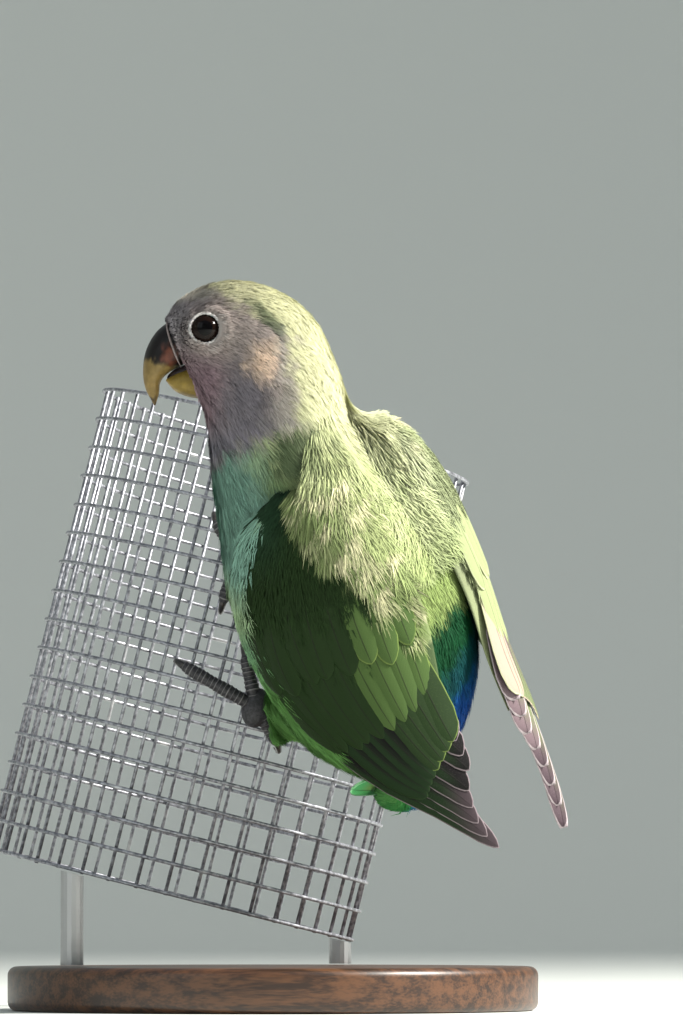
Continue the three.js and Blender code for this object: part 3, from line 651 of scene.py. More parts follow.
trunk_turn = Matrix(trunk_axes.T.tolist()).to_quaternion()
head_turn = Matrix(head_axes.T.tolist()).to_quaternion()
form_station = smooth_table([row[0] for row in FORM_ROWS], [[i] for i in range(len(FORM_ROWS))])
form_centres = [from_trunk(row[1], row[2], row[0]) for row in FORM_ROWS]
form_at = smooth_table(
    range(len(FORM_ROWS)), [[*centre, *row[3:]] for centre, row in zip(form_centres, FORM_ROWS)]
)
round_steps = np.arange(-6, 66)
up_steps = np.arange(-84, 46)


def form_table(sign):
    """Positions and outward normals of the form on a grid of one millimetre."""
    rows = form_at(form_station(up_steps)[:, 0])
    angle = round_steps / UNROLL_RADIUS
    sine = np.sign(np.sin(angle)) * np.abs(np.sin(angle)) ** 0.92
    cosine = np.sign(np.cos(angle)) * np.abs(np.cos(angle)) ** 0.92
    places = np.empty((len(round_steps), len(up_steps), 3))
    for column, row in enumerate(rows):
        turn = np.array(trunk_turn.slerp(head_turn, min(max(row[3], 0), 1)).to_matrix())
        deep = np.where(cosine > 0, row[5], row[6]) + WING_CLEARANCE
        flat = np.column_stack((sign * sine * (row[4] + WING_CLEARANCE), cosine * deep, 0 * sine))
        places[:, column] = row[:3] + flat @ turn.T
    across = np.gradient(places, axis=0)
    along = np.gradient(places, axis=1)
    normals = np.cross(across, along) * -sign
    return places, normals / np.linalg.norm(normals, axis=2, keepdims=True)


form_tables = {sign: form_table(sign) for sign in (1, -1)}


def on_form(sign, layout, height):
    """Points in space for places on the unrolled form, at heights off it."""
    places, normals = form_tables[sign]
    column = np.clip(layout[:, 0] - round_steps[0], 0, len(round_steps) - 1.001)
    row = np.clip(layout[:, 1] - up_steps[0], 0, len(up_steps) - 1.001)
    i, j = column.astype(int), row.astype(int)
    u, v = (column - i)[:, None], (row - j)[:, None]

    def blend(table):
        low = table[i, j] * (1 - u) + table[i + 1, j] * u
        high = table[i, j + 1] * (1 - u) + table[i + 1, j + 1] * u
        return low * (1 - v) + high * v

    return blend(places) + blend(normals) * np.asarray(height)[:, None]


class Rail:
    """Smooth curve through points of a layout, read by its share of length."""

    def __init__(self, points):
        knots = smooth_table(range(len(points)), points)
        fine = knots(np.linspace(0, len(points) - 1, 200))
        lengths = np.concatenate(([0], np.cumsum(np.linalg.norm(np.diff(fine, axis=0), axis=1))))
        self.fine = fine
        self.shares = lengths / lengths[-1]

    def at(self, share):
        inside = np.clip(share, 0, 1)
        places = np.column_stack([np.interp(inside, self.shares, self.fine[:, k]) for k in (0, 1)])
        slope = (self.fine[10] - self.fine[0]) / self.shares[10]
        return places + np.minimum(share, 0)[:, None] * slope


class Wing:
    """Layout of one folded wing between its two rails."""

    def __init__(self, sign, lead, inner):
        self.sign = sign
        self.lead = Rail(lead)
        self.inner = Rail(inner)

    def layout(self, along, across):
        along, across = np.broadcast_arrays(np.atleast_1d(along).astype(float), across)
        return self.inner.at(along) + (self.lead.at(along) - self.inner.at(along)) * across[:, None]


class Rail3:
    """Smooth curve through points in space, read by its share of length."""

    def __init__(self, points):
        points = np.array(points)
        chords = np.linalg.norm(np.diff(points, axis=0), axis=1)
        keys = np.concatenate(([0], np.cumsum(np.sqrt(chords))))
        self.fine = smooth_table(keys, points)(np.linspace(0, keys[-1], 400))
        lengths = np.concatenate(([0], np.cumsum(np.linalg.norm(np.diff(self.fine, axis=0), axis=1))))
        self.length = lengths[-1]
        self.shares = lengths / self.length

    def at(self, share):
        return np.column_stack([np.interp(share, self.shares, self.fine[:, k]) for k in range(3)])


wings = {name: Wing(*rails) for name, rails in WING_RAILS.items()}


# Body coat: thousands of small tufts of loose barbs that lie over one another like tiles. Each
# tuft has a few narrow strands with a fold along the middle. They run back from the bill over the
# head and down the body to the tail, and gather in soft feather shapes, darkened at their sides as
# painted shade in the gaps between them.

STRAND_TRIANGLES = 5
MOST_TRIANGLES = 190000
BODY_TUFT_LENGTH = 4.9
FACE_TUFT_SHORTER = 2.5
TUFT_WIDTH = 0.27
FACE_TUFT_NARROWER = 0.06
PATCH_REACH = 0.0015
EYE_BARE = 3.75
FOOT_BARE = 6.5
WING_COVERS = 3.4

# Places on the body, the frame that a direction is given in, and the direction the coat lies.
LIE = [
    (from_head(0, -16, 8), head_axes, (0, 0.5, 0.85)),
    (from_head(0, -9, 13), head_axes, (0, 0.95, 0.35)),
    (from_head(0, 0, 15), head_axes, (0, 1, -0.05)),
    (from_head(0, 10, 10), head_axes, (0, 0.75, -0.65)),
    (from_head(0, 16, -2), head_axes, (0, 0.3, -0.95)),
    (from_head(0, -13, -24), head_axes, (0, 0.05, -1)),
    (from_head(0, -11, -12), head_axes, (0, 0.3, -0.95)),
    (from_trunk(0, 20, 40), trunk_axes, (0, 0.15, -1)),
    (from_trunk(0, 25, 12), trunk_axes, (0, 0, -1)),
    (from_trunk(0, 18, -25), trunk_axes, (0, 0, -1)),
    (from_trunk(0, -25, 15), trunk_axes, (0, -0.05, -1)),
    (from_trunk(0, -26, -15), trunk_axes, (0, 0.1, -1)),
    (from_trunk(0, -12, -42), trunk_axes, (0, 0.35, -1)),
]
for hand in (1, -1):
    LIE += [
        (from_head(hand * 7, -14, 2), head_axes, (hand * 0.35, 0.93, 0.1)),
        (from_head(hand * 11, -4, 8), head_axes, (hand * 0.1, 0.95, -0.05)),
        (from_head(hand * 12, -7, -5), head_axes, (hand * 0.2, 0.8, -0.6)),
        (from_head(hand * 13, 4, -4), head_axes, (0, 0.66, -0.75)),
        (from_head(hand * 12, 2, -20), head_axes, (hand * 0.1, 0.45, -0.9)),
        (from_trunk(hand * 25, 0, 15), trunk_axes, (0, 0.1, -1)),
        (from_trunk(hand * 20, -10, -25), trunk_axes, (-hand * 0.1, 0.2, -1)),
    ]


def lie(points, normals):
    """Unit vectors along which the coat lies, in the surface."""
    anchors = np.array([place for place, axes, way in LIE])
    ways = np.array([np.array(way) @ axes for place, axes, way in LIE])
    gaps = np.linalg.norm(points[:, None] - anchors[None], axis=2)
    weights = 1 / (gaps**2 + 9) ** 1.5
    flow = weights @ ways
    flow -= normals * (flow * normals).sum(1, keepdims=True)
    return flow / np.linalg.norm(flow, axis=1, keepdims=True)


def nearest(points):
    """Closest points of the skin and its normals there."""
    found = [skin_tree.find_nearest(Vector(point))[:2] for point in points]
    return np.array([f[0][:] for f in found]), np.array([f[1][:] for f in found])


def nearest_vertex(points):
    """Number of the closest vertex of the skin for each point."""
    return np.array([skin_vertices.find(Vector(point))[1] for point in points])


def feather_centres(spots, spacing, area):
    """For each spot, the number of the nearest feather centre and the centre itself."""
    count = max(2, int(area / spacing**2))
    centres = spots[chance.choice(len(spots), min(count, len(spots)), replace=False)]
    tree = KDTree(len(centres))
    for index, centre in enumerate(centres):
        tree.insert(Vector((*centre, 0)[:3]), index)
    tree.balance()
    which = np.array([tree.find(Vector((*spot, 0)[:3]))[1] for spot in spots])
    return which, centres[which]


def joined(name, points, faces, spots, colours):
    """Object from arrays of points in millimetres, triangles, UV places and colours."""
    mesh = bpy.data.meshes.new(name)
    mesh.vertices.add(len(points))
    mesh.vertices.foreach_set("co", (points * MM).astype(np.float32).ravel())
    mesh.loops.add(faces.size)
    mesh.loops.foreach_set("vertex_index", faces.astype(np.int32).ravel())
    mesh.polygons.add(len(faces))
    starts = np.arange(0, faces.size, faces.shape[1], dtype=np.int32)
    mesh.polygons.foreach_set("loop_start", starts)
    mesh.update(calc_edges=True)
    layer = mesh.uv_layers.new(name="OFBake")
    layer.data.foreach_set("uv", spots[faces.ravel()].astype(np.float32).ravel())
    set_colour(mesh, colours)
    return new_object(name, mesh)


def tufts(name, root, middle, tip, sides, width, colour, tip_colour, uv, strands, spread):
    """Joined mesh of tufts. Each strand is a narrow folded blade from root over middle to tip."""
    count = len(root)
    out = np.cross(sides, tip - root)
    out /= np.linalg.norm(out, axis=1, keepdims=True)
    length = np.linalg.norm(tip - root, axis=1, keepdims=True)
    width = width[:, None]
    points, colours = [], []
    for strand in range(strands):
        place = 0 if strands == 1 else 2 * strand / (strands - 1) - 1
        place = place + chance.normal(0, 0.25, (count, 1))
        reach = 1 + chance.normal(0, 0.12, (count, 1)) - 0.1 * np.abs(place)
        shift = sides * place * spread * width
        fan = sides * place * length * 0.09
        half = sides * width * 0.5
        lift = out * chance.normal(0, 0.12, (count, 1)) * width
        centre = root + (middle - root) * reach + shift + fan * 0.4 + lift
        end = root + (tip - root) * reach + shift + fan + lift * 2
        base = root + shift * 0.8
        fold = out * width * 0.2
        blade = (base - half * 0.7, base + half * 0.7, centre - half, centre + fold, centre + half, end)
        points.append(np.stack(blade, 1))
        tone = 1 + chance.normal(0, 0.07, (count, 1, 1))
        odd = chance.uniform(size=(count, 1, 1))
        tone = np.where(odd < 0.08, tone * 0.68, np.where(odd > 0.94, tone * 1.15, tone))
        tips = np.array((0, 0, 0.25, 0.3, 0.25, 1)).reshape(1, 6, 1)
        # Painted shade at the root of each strand, and painted light at its tip.
        root_shade_grade = np.array((0.55, 0.55, 0.93, 1.0, 0.93, 1.08)).reshape(1, 6, 1)
        paint_mix = colour[:, None] * (1 - tips) + tip_colour[:, None] * tips
        colours.append(np.clip(paint_mix * tone * root_shade_grade, 0, 1))
    pattern = np.array(((0, 1, 3), (0, 3, 2), (1, 4, 3), (2, 3, 5), (3, 4, 5)))
    faces = (pattern[None] + 6 * np.arange(count * strands)[:, None, None]).reshape(-1, 3)
    patch = np.array(((-1, -1), (1, -1), (-1, 0), (0, 0), (1, 0), (0, 1))) * PATCH_REACH
    spots = (np.tile(uv, (strands, 1))[:, None] + patch[None]).reshape(-1, 2)
    points = np.concatenate(points).reshape(-1, 3)
    return joined(name, points, faces, spots, np.concatenate(colours).reshape(-1, 3))


def grow(name, slot, strands, spread, *arrays):
    """Coat of tufts, in as many pieces as its size asks for."""
    pieces = math.ceil(len(arrays[0]) * strands * STRAND_TRIANGLES / MOST_TRIANGLES)
    parts = [np.array_split(array, pieces) for array in arrays]
    for piece in range(pieces):
        coat = tufts(f"{name}_{piece + 1}", *[part[piece] for part in parts], strands, spread)
        coat.data.materials.append(plume_finish.material)
        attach(coat, "root")


skin_vertices = KDTree(len(skin_places))
for index, place in enumerate(skin_places):
    skin_vertices.insert(Vector(place), index)
skin_vertices.balance()

plume_finish = Finish("plumes", Roughness=0.65, Specular_IOR_Level=0.1)
plume_finish.set(Base_Color=plume_finish.attribute("plumage", "Color"))

under_wing = np.zeros(len(skin_places), bool)
for wing in wings.values():
    covered = KDTree(1200)
    for along in np.linspace(0.06, 0.94, 40):
        row = on_form(wing.sign, wing.layout(along, np.linspace(0.12, 0.9, 30)), np.zeros(30))
        for point in row:
            covered.insert(Vector(point), 0)
    covered.balance()
    under_wing |= np.array([covered.find(Vector(point))[2] < WING_COVERS for point in skin_places])

head_spot = in_head(skin_places)
trunk_spot = in_trunk(skin_places)
eye_gap = np.hypot(head_spot[:, 1] - EYE_PLACE[1], head_spot[:, 2] - EYE_PLACE[2])
near_eye = (eye_gap < EYE_BARE) & (np.abs(head_spot[:, 0]) > 6)
bill_base = (head_spot[:, 1] < -11.5) & (head_spot[:, 2] < 2.2 - (head_spot[:, 1] + 19) * 0.8)
near_bill = bill_base & (np.abs(head_spot[:, 0]) < 4.6) & (head_spot[:, 2] > -9)
near_foot = np.zeros(len(skin_places), bool)
for palm in palm_points.values():
    near_foot |= np.linalg.norm(skin_places - palm, axis=1) < FOOT_BARE
bare = under_wing | near_eye | near_bill | near_foot

on_head = rise(head_spot[:, 2] - head_spot[:, 1] * 0.25, -24, -12)
neck_line = (head_spot[:, 2] <= -9) & (trunk_spot[:, 2] > 26)
low = trunk_spot[:, 2] <= 26
behind = trunk_spot[:, 1] >= 2

# For each zone the places in it, the tufts at each place, a feather's size and a tuft's strands.
body_zones = {
    "coat_head": (head_spot[:, 2] > -9, 2, 1.6, 3),
    "coat_neck": (neck_line, 2, 3.0, 3),
    "coat_breast": (low & ~behind & (trunk_spot[:, 2] > -18), 1, 3.6, 3),
    "coat_mantle": (low & behind, 2, 4.4, 4),
    "coat_belly": ((trunk_spot[:, 2] <= -18) & ~behind, 1, 3.6, 3),
}
for zone, (inside, layers, spacing, strands) in body_zones.items():
    chosen = np.tile(np.flatnonzero(inside & ~bare), layers)
    normals = skin_normals[chosen]
    flow = lie(skin_places[chosen], normals)
    sides = np.cross(normals, flow)
    roots = skin_places[chosen] + flow * chance.uniform(-0.45, 0.45, (len(chosen), 1))
    roots += sides * chance.uniform(-0.45, 0.45, (len(chosen), 1))
    which, centres = feather_centres(roots, spacing, len(chosen) / layers * 0.49)
    small = on_head[chosen]
    off = ((roots - centres) * sides).sum(1) / spacing * 2
    ahead = ((roots - centres) * flow).sum(1) / spacing * 2
    twist = chance.normal(0, 0.1, len(chosen))[which] * (1 - 0.5 * small)
    swirl = cloud(roots, 8, 21) * 0.13 + chance.normal(0, 0.06, len(chosen))
    swirl += off * (0.2 - 0.06 * small) + twist
    flow = flow * np.cos(swirl)[:, None] + sides * np.sin(swirl)[:, None]
    sides = np.cross(normals, flow)
    long = BODY_TUFT_LENGTH - FACE_TUFT_SHORTER * small
    long = long * chance.uniform(0.8, 1.15, len(chosen)) * (1 + 0.12 * ahead)
    long *= 1 - 0.35 * rise(-head_spot[chosen, 1], 6, 15) * small
    stand = (1.4 - 0.6 * small) * (1 - 0.4 * np.clip(off**2, 0, 1) + 0.1 * cloud(roots, 3.5, 23))
    middles, middle_normals = nearest(roots + flow * (long * 0.5)[:, None])
    tips, tip_normals = nearest(roots + flow * long[:, None])
    middles = middles + middle_normals * (stand * 0.75)[:, None]
    tips = tips + tip_normals * (stand * chance.uniform(0.75, 1.15, len(chosen)))[:, None]
    colour = plumage(roots)
    # Tufts at the sides of each feather are darkened: painted shade in the gaps between feathers.
    tone = 1 + chance.normal(0, 0.06, len(chosen))[which] - 0.16 * np.clip(np.abs(off) - 0.55, 0, 1)
    colour = colour * tone[:, None]
    tip_colour = colour * 1.06
    colour = colour * (1 + 0.35 * small * rise(-head_spot[chosen, 1], 10, 13))[:, None]
    pale = np.clip(chance.normal(-0.5, 0.6, len(chosen))[which], 0, 1) * (1 - small) * behind[chosen]
    pale *= rise(trunk_spot[chosen, 2], -4, 6)
    paint(tip_colour, "dedcb0", pale * 0.5)
    paint(colour, "c9c58e", pale * 0.25)
    right_rump = rise(-trunk_spot[chosen, 0], 8, 16) * rise(-trunk_spot[chosen, 2], 22, 30)
    paint(tip_colour, "8cc4ee", right_rump * behind[chosen] * 0.8)
    beside_bill = small * rise(-head_spot[chosen, 1], 8, 13)
    width = TUFT_WIDTH - FACE_TUFT_NARROWER * small + 0.12 * beside_bill
    grow(
        zone, "face_plumage" if zone == "coat_head" else "plumage", strands, 0.35 * strands,
        roots - normals * 0.2, middles, tips, sides, width, colour, tip_colour, uv_of_vertex[chosen],
    )


# Wing bases: the fleshy part of each folded wing, as a smooth slab just above the flank. It is
# covered by small coverts as tufts and, further down, by the rows of vanes. The left wing is painted
# dark as painted shade and has long loose feathers over its upper half; the right one is painted
# paler as painted light, and is smoother.

# Colours of the parts of each wing, and how fast its loose feathers end towards the tip. The left
# wing's colours are darkened as painted shade, and the right wing's are lightened as painted light.
WING_LOOKS_SHADED_AND_LIT = {
    "left": {
        "outer": "1f3116", "inner": "a6b07c", "bend": "1e3623", "cream": "e2d9b6", "covert": "465c30",
        "web": "1b2e18", "dark": "0f0d0f", "tip": "41373c", "fringe": "8a7e83", "pale": "66783f",
        "shade": "495c33", "low": "80915a", "near": "22341a", "smooth": 0,
    },
    "right": {
        "outer": "868f6c", "inner": "a4aa88", "bend": "a2ab80", "cream": "dccfb2", "covert": "9aa478",
        "web": "75805c", "dark": "75646a", "tip": "56484f", "fringe": "c5b8bc", "pale": "c3c7a0",
        "shade": "97a274", "low": "97a272", "near": "b09f90", "smooth": 1,
    },
}
CORE_END = 0.72
BASE_COLUMNS = 112
BASE_ROWS = 56


def wing_height(along, across):
    """Height of the wing's upper side over its form, without the vanes."""
    edge = np.minimum(1, np.minimum(0.25 + 3.2 * across * (1 - across), 0.1 + 8 * along))
    return 1 + 2.8 * np.maximum(0, 1 - along / CORE_END) * np.maximum(edge, 0)


def hairy(along, across, points, smooth):
    """Share to which a place is overlaid by the long loose feathers of the shoulder."""
    edge = np.interp(along, (0, 0.08, 0.2, 0.3, 0.42, 0.5), (0.83, 0.58, 0.33, 0.23, 0.15, -0.1))
    return rise(edge - smooth * along * 4 - across + 0.05 * cloud(points, 5, 31), -0.04, 0.08)


def wing_colour(codes, along, across, points):
    colour = np.tile(shade(codes["outer"], False), (len(along), 1))
    paint(colour, codes["covert"], rise(along, 0.3, 0.55) * rise(-across, -0.55, -0.3))
    paint(colour, codes["bend"], rise(-along, -0.2, -0.08) * rise(across, 0.55, 0.85))
    loose = hairy(along, across, points, codes["smooth"])
    paint(colour, codes["inner"], loose)
    paint(colour, codes["low"], loose * rise(along, 0.1, 0.34))
    paint(colour, codes["shade"], loose * rise(across + 0.5 * along, 0.12, 0.55) * 0.75)
    paint(colour, codes["cream"], loose * rise(cloud(points, 6, 32), 0.25, 1.1) * 0.6)
    return colour


wing_bases = {}
for name, wing in wings.items():
    slab = bmesh.new()
    bmesh.ops.create_grid(slab, x_segments=BASE_COLUMNS, y_segments=BASE_ROWS, size=0.5)
    top = bmesh.ops.extrude_face_region(slab, geom=slab.faces[:])["geom"]
    top = [part for part in top if isinstance(part, bmesh.types.BMVert)]
    bmesh.ops.translate(slab, verts=top, vec=(0, 0, 1))
    spots = np.array([vertex.co[:] for vertex in slab.verts])
    along = (spots[:, 0] + 0.5) * CORE_END
    across = spots[:, 1] + 0.5
    is_top = spots[:, 2] > 0.5
    height = np.where(is_top, wing_height(along, across) - 0.9, 0.02)
    places = on_form(wing.sign, wing.layout(along, across), height)
    for vertex, place in zip(slab.verts, places):
        vertex.co = place * MM
    bmesh.ops.recalc_face_normals(slab, faces=slab.faces)
    base = finished(f"wing_base_{name}", slab)
    unwrap(base)
    # The slab is painted darker than the coverts, as painted shade under the tufts.
    set_colour(base.data, wing_colour(WING_LOOKS_SHADED_AND_LIT[name], along, across, places) * 0.7)
    base.data.materials.append(down.material)
    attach(base, "root")
    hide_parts(f"wing_{name}")
    wing_bases[name] = (np.flatnonzero(is_top), along, across, vertex_uvs(base))


# Small coverts and shoulder feathers: tufts on the wing bases. Those of the shoulder are long,
# loose and pale at the tip, and hang over the smooth coverts of the outer wing, which are painted
# dark on the left wing as painted shade.

COVERT_SPACING = 4.6
WING_LENGTH = 96

for name, wing in wings.items():
    codes = WING_LOOKS_SHADED_AND_LIT[name]
    top, along, across, uvs = wing_bases[name]
    chosen = np.tile(top, 2)
    at = along[chosen] + chance.normal(0, 0.004, len(chosen))
    beside = across[chosen] + chance.normal(0, 0.012, len(chosen))
    spot = on_form(wing.sign, wing.layout(at, beside), np.zeros(len(chosen)))
    loose = hairy(at, beside, spot, codes["smooth"])
    kept = (at < 0.44) & (beside > 0.25 * at - 0.02)
    chosen, at, beside, spot, loose = chosen[kept], at[kept], beside[kept], spot[kept], loose[kept]
    flat = wing.layout(at, beside)
    which, centres = feather_centres(flat, COVERT_SPACING, len(chosen) * 0.22)
    rails = wing.layout(at, np.ones(len(at))) - wing.layout(at, np.zeros(len(at)))
    span = np.linalg.norm(rails, axis=1)
    off = (flat - centres)[:, 0] / COVERT_SPACING * 2 * np.sign(wing.layout(0.3, 1)[0, 0])
    tipward = -(flat - centres)[:, 1] / COVERT_SPACING * 2
    long = (3.4 + 1.8 * loose) * chance.uniform(0.75, 1.2, len(at)) * (1 + 0.18 * tipward * loose)
    turn = off * (0.06 + 0.16 * loose) + cloud(spot, 9, 33) * 0.1 * loose
    turn += chance.normal(0, 0.05 + 0.05 * loose) + chance.normal(0, 0.12, len(at))[which] * loose
    turn += 0.1 * rise(beside, 0.86, 1) + 0.1 * rise(-beside, -0.1, 0)
    step = long / WING_LENGTH
    drift = turn * long / span
    heap = (1 - 0.45 * np.clip(off**2, 0, 1)) * (0.35 + 0.75 * loose)
    level = wing_height(at, np.clip(beside, 0, 1))
    droop = 0.9 * (rise(beside, 0.9, 1) + rise(-beside, -0.08, 0))

    def over(share, height):
        reached = at + step * share
        return on_form(wing.sign, wing.layout(reached, beside + drift * share), height)

    roots = over(0, level - 1.0)
    half_level = wing_height(at + step * 0.5, np.clip(beside, 0, 1))
    middles = over(0.5, half_level - 0.25 + heap * 0.8 - droop * 0.5)
    lift = chance.uniform(0.6, 1.25, len(at)) * heap
    tips = over(1, wing_height(at + step, np.clip(beside, 0, 1)) - 0.3 + lift - droop)
    raised = on_form(wing.sign, flat, np.ones(len(flat)))
    normals = raised - on_form(wing.sign, flat, np.zeros(len(flat)))
    sides = np.cross(normals, tips - roots)
    sides /= np.linalg.norm(sides, axis=1, keepdims=True)
    colour = wing_colour(codes, at, beside, spot)
    rim_shade = (0.06 + 0.2 * loose) * np.clip(np.abs(off) - 0.5, 0, 1)
    tone = 1 + chance.normal(0, 0.05, len(at))[which] - rim_shade
    colour = colour * tone[:, None]
    tip_colour = colour * 1.05
    pale = np.clip(chance.normal(-0.2, 0.7, len(at))[which], 0, 1) * loose
    paint(tip_colour, codes["cream"], pale * 0.6)
    grow(
        f"coverts_{name}", "plumage", 2, 0.7,
        roots, middles, tips, sides, 0.34 + 0.02 * loose, colour, tip_colour, uvs[chosen],
    )


# Bridging feathers of back and neck: tufts over the seam where each folded wing meets the body.
# They root in the skin beside the wing and lie over its upper, inner and leading edges.

# How far these tufts reach along the inner edge, across the root and along the leading edge.
BRIDGES = {"left": (0.3, 0.66, 0.58), "right": (0.3, 0.95, 0.35)}
BRIDGE_TUFTS = 7600


def bridge_place(wing, along, across, lift):
    """Points of a smooth ramp from the skin beside the wing up to the wing's upper side."""
    level = wing_height(np.maximum(along, 0.04), np.clip(across, 0.06, 0.94))
    above = on_form(wing.sign, wing.layout(along, across), level - 0.5)
    ground, normals = nearest(above)
    outside = np.maximum(-across / 0.4, -along / 0.14)
    outside = np.clip(np.maximum(outside, (across - 0.98) / 0.2), 0, 1)
    share = ((1 - outside) ** 2)[:, None]
    out = above - ground
    out /= np.linalg.norm(out, axis=1, keepdims=True)
    out = out * share + normals * (1 - share)
    return ground + (above - ground) * share + out * lift[:, None], normals, above - ground


for name, wing in wings.items():
    codes = WING_LOOKS_SHADED_AND_LIT[name]
    inner_end, upper_end, lead_end = BRIDGES[name]
    edge = chance.choice(3, BRIDGE_TUFTS, p=(0.34, 0.38, 0.28))
    at = np.choose(edge, (
        chance.uniform(-0.14, 0.03, BRIDGE_TUFTS), chance.uniform(-0.05, inner_end, BRIDGE_TUFTS),
        chance.uniform(0.05, lead_end, BRIDGE_TUFTS),
    ))
    beside = np.choose(edge, (
        chance.uniform(-0.3, upper_end, BRIDGE_TUFTS), chance.uniform(-0.4, 0.05, BRIDGE_TUFTS),
        chance.uniform(0.93, 1.2, BRIDGE_TUFTS) - 0.06 * chance.uniform(size=BRIDGE_TUFTS) ** 2,
    ))
    drift = np.choose(edge, (0.015, 0.04, -0.015)) + chance.normal(0, 0.02, BRIDGE_TUFTS)
    step = chance.uniform(0.036, 0.054, BRIDGE_TUFTS)
    lift = chance.uniform(0.5, 1.1, BRIDGE_TUFTS)
    roots, normals, rise_up = bridge_place(wing, at, beside, lift * 0 - 0.5)
    middles = bridge_place(wing, at + step / 2, beside + drift / 2, lift * 0.8)[0]
    tips = bridge_place(wing, at + step, beside + drift, lift)[0]
    kept = (np.linalg.norm(rise_up, axis=1) < 10) & (in_head(roots)[:, 2] < -10)
    kept &= np.linalg.norm(tips - roots, axis=1) < 8
    roots, middles, tips, normals = roots[kept], middles[kept], tips[kept], normals[kept]
    sides = np.cross(normals, tips - roots)
    sides /= np.linalg.norm(sides, axis=1, keepdims=True)
    colour = plumage(roots) * (1 + 0.12 * cloud(roots, 4, 35))[:, None]
    paint(colour, codes["inner"], 0.4 * (edge[kept] < 2))
    grow(
        f"bridge_{name}", "plumage", 2, 0.7, roots, middles, tips, sides,
        np.full(len(roots), 0.31), colour, colour * 1.06, uv_of_vertex[nearest_vertex(roots)],
    )


# Vanes of wings and tail: each is a thin cambered blade with a shaft, barbs that slope away from
# it, and a paler rim. Coverts come first, then the inner flight feathers and the long outer ones,
# whose tips step back one behind the other.

VANE_SHARES = np.array((0, 0.08, 0.18, 0.3, 0.42, 0.54, 0.65, 0.75, 0.83, 0.89, 0.94, 0.975, 1))
RIM_INSET = 0.42
VANE_THICKNESS = 0.12
BARB_WAVES = 19.6
# Share of a vane's length and of its full width there.
COVERT_FORM = ((0, 0.5), (0.2, 0.85), (0.5, 1), (0.75, 0.95), (0.9, 0.68), (0.97, 0.36), (1, 0.05))
QUILL_FORM = ((0, 0.5), (0.2, 0.8), (0.5, 0.97), (0.75, 1), (0.9, 0.8), (0.97, 0.45), (1, 0.05))


class Plumes:
    """Vanes gathered in arrays and then joined in one object."""

    def __init__(self, place, flip):
        self.place = place
        self.flip = flip
        self.vanes = []

    def add(self, path, half, outer, heights, form, codes, cup=0.5, tip_from=0.7, roll=0.0):
        """Vane along a path, with its half width, the outer web's share and heights at its ends."""
        fine = path(np.linspace(0, 1, 60))
        length = np.linalg.norm(np.diff(fine, axis=0), axis=1).sum()
        shares = np.unique(np.append(VANE_SHARES, 1 - RIM_INSET / length))
        widths = np.interp(shares, *zip(*form)) * half * 2
        webs = {-1: widths * (1 - outer), 1: widths * outer}
        inset = RIM_INSET / (half * 2 * min(outer, 1 - outer))
        columns = np.array((-1, -1 + inset, -0.6, -0.25, 0, 0.25, 0.6, 1 - inset, 1))
        ahead = path(np.clip(shares + 0.01, 0, 1)) - path(np.clip(shares - 0.01, 0, 1))
        across = np.column_stack((-ahead[:, 1], ahead[:, 0]))
        across /= np.linalg.norm(across, axis=1, keepdims=True)
        across *= self.flip
        centre = path(shares)
        spots, heights_at, offsets, ways = [], [], [], []
        for column in columns:
            web = webs[1 if column > 0 else -1]
            offset = column * web
            spots.append(centre + across * offset[:, None])
            camber = cup * (1 - column**2) * np.minimum(1, widths / half / 1.4)
            heights_at.append(heights[0] + (heights[1] - heights[0]) * shares + camber + roll * column)
            offsets.append(offset)
            ways.append(np.full(len(shares), column))
        rows, count = len(shares), len(columns)
        points = self.place(np.concatenate(spots), np.concatenate(heights_at))
        offsets, ways = np.concatenate(offsets), np.concatenate(ways)
        alongs = np.tile(shares, count)
        dense = np.linspace(0, 1, 140)
        wide = np.interp(dense, *zip(*form)) * half * 2
        outline = np.concatenate((
            np.column_stack((wide * outer, dense * length)),
            np.column_stack((-wide * (1 - outer), dense * length)),
        ))
        flat = np.column_stack((offsets, alongs * length))
        rim = np.linalg.norm(flat[:, None] - outline[None], axis=2).min(1)
        colour = np.tile(shade(codes["inner"], False), (len(points), 1))
        paint(colour, codes["outer"], rise(ways, -0.12, 0.12))
        paint(colour, codes["tip"], rise(alongs, tip_from, min(1.05, tip_from + 0.25)))
        fringe = np.tile(shade(codes["fringe"], False), (len(points), 1))
        index = np.arange(count * rows).reshape(count, rows)
        quads = np.stack((index[:-1, :-1], index[1:, :-1], index[1:, 1:], index[:-1, 1:]), -1)
        quads = quads.reshape(-1, 4)
        if self.flip < 0:
            quads = quads[:, ::-1]
        barb = alongs * length - np.abs(offsets) * 1.1
        place_in_cell = np.column_stack((0.5 + 0.42 * offsets / (half * 2), 0.06 + 0.88 * alongs))
        self.vanes.append((points, quads, colour, fringe, rim, barb, ways, place_in_cell))

    def build(self, name):
        cells = math.ceil(math.sqrt(len(self.vanes)))
        start = 0
        quads, spots = [], []
        for number, vane in enumerate(self.vanes):
            quads.append(vane[1] + start)
            start += len(vane[0])
            corner = np.array((number % cells, number // cells))
            spots.append((corner + vane[7]) / cells)
        columns = [np.concatenate([vane[k] for vane in self.vanes]) for k in (0, 2, 3, 4, 5, 6)]
        points, colour, fringe, rim, barb, ways = columns
        thing = joined(name, points, np.concatenate(quads), np.concatenate(spots), colour)
        set_colour(thing.data, fringe, "fringe")
        set_number(thing.data, "rim", rim)
        set_number(thing.data, "barb", barb)
        set_number(thing.data, "web", ways)
        solid = thing.modifiers.new("thickness", "SOLIDIFY")
        solid.thickness = VANE_THICKNESS * MM
        solid.offset = -1
        thing.data.materials.append(vane_finish.material)
        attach(thing, "root")
        return thing


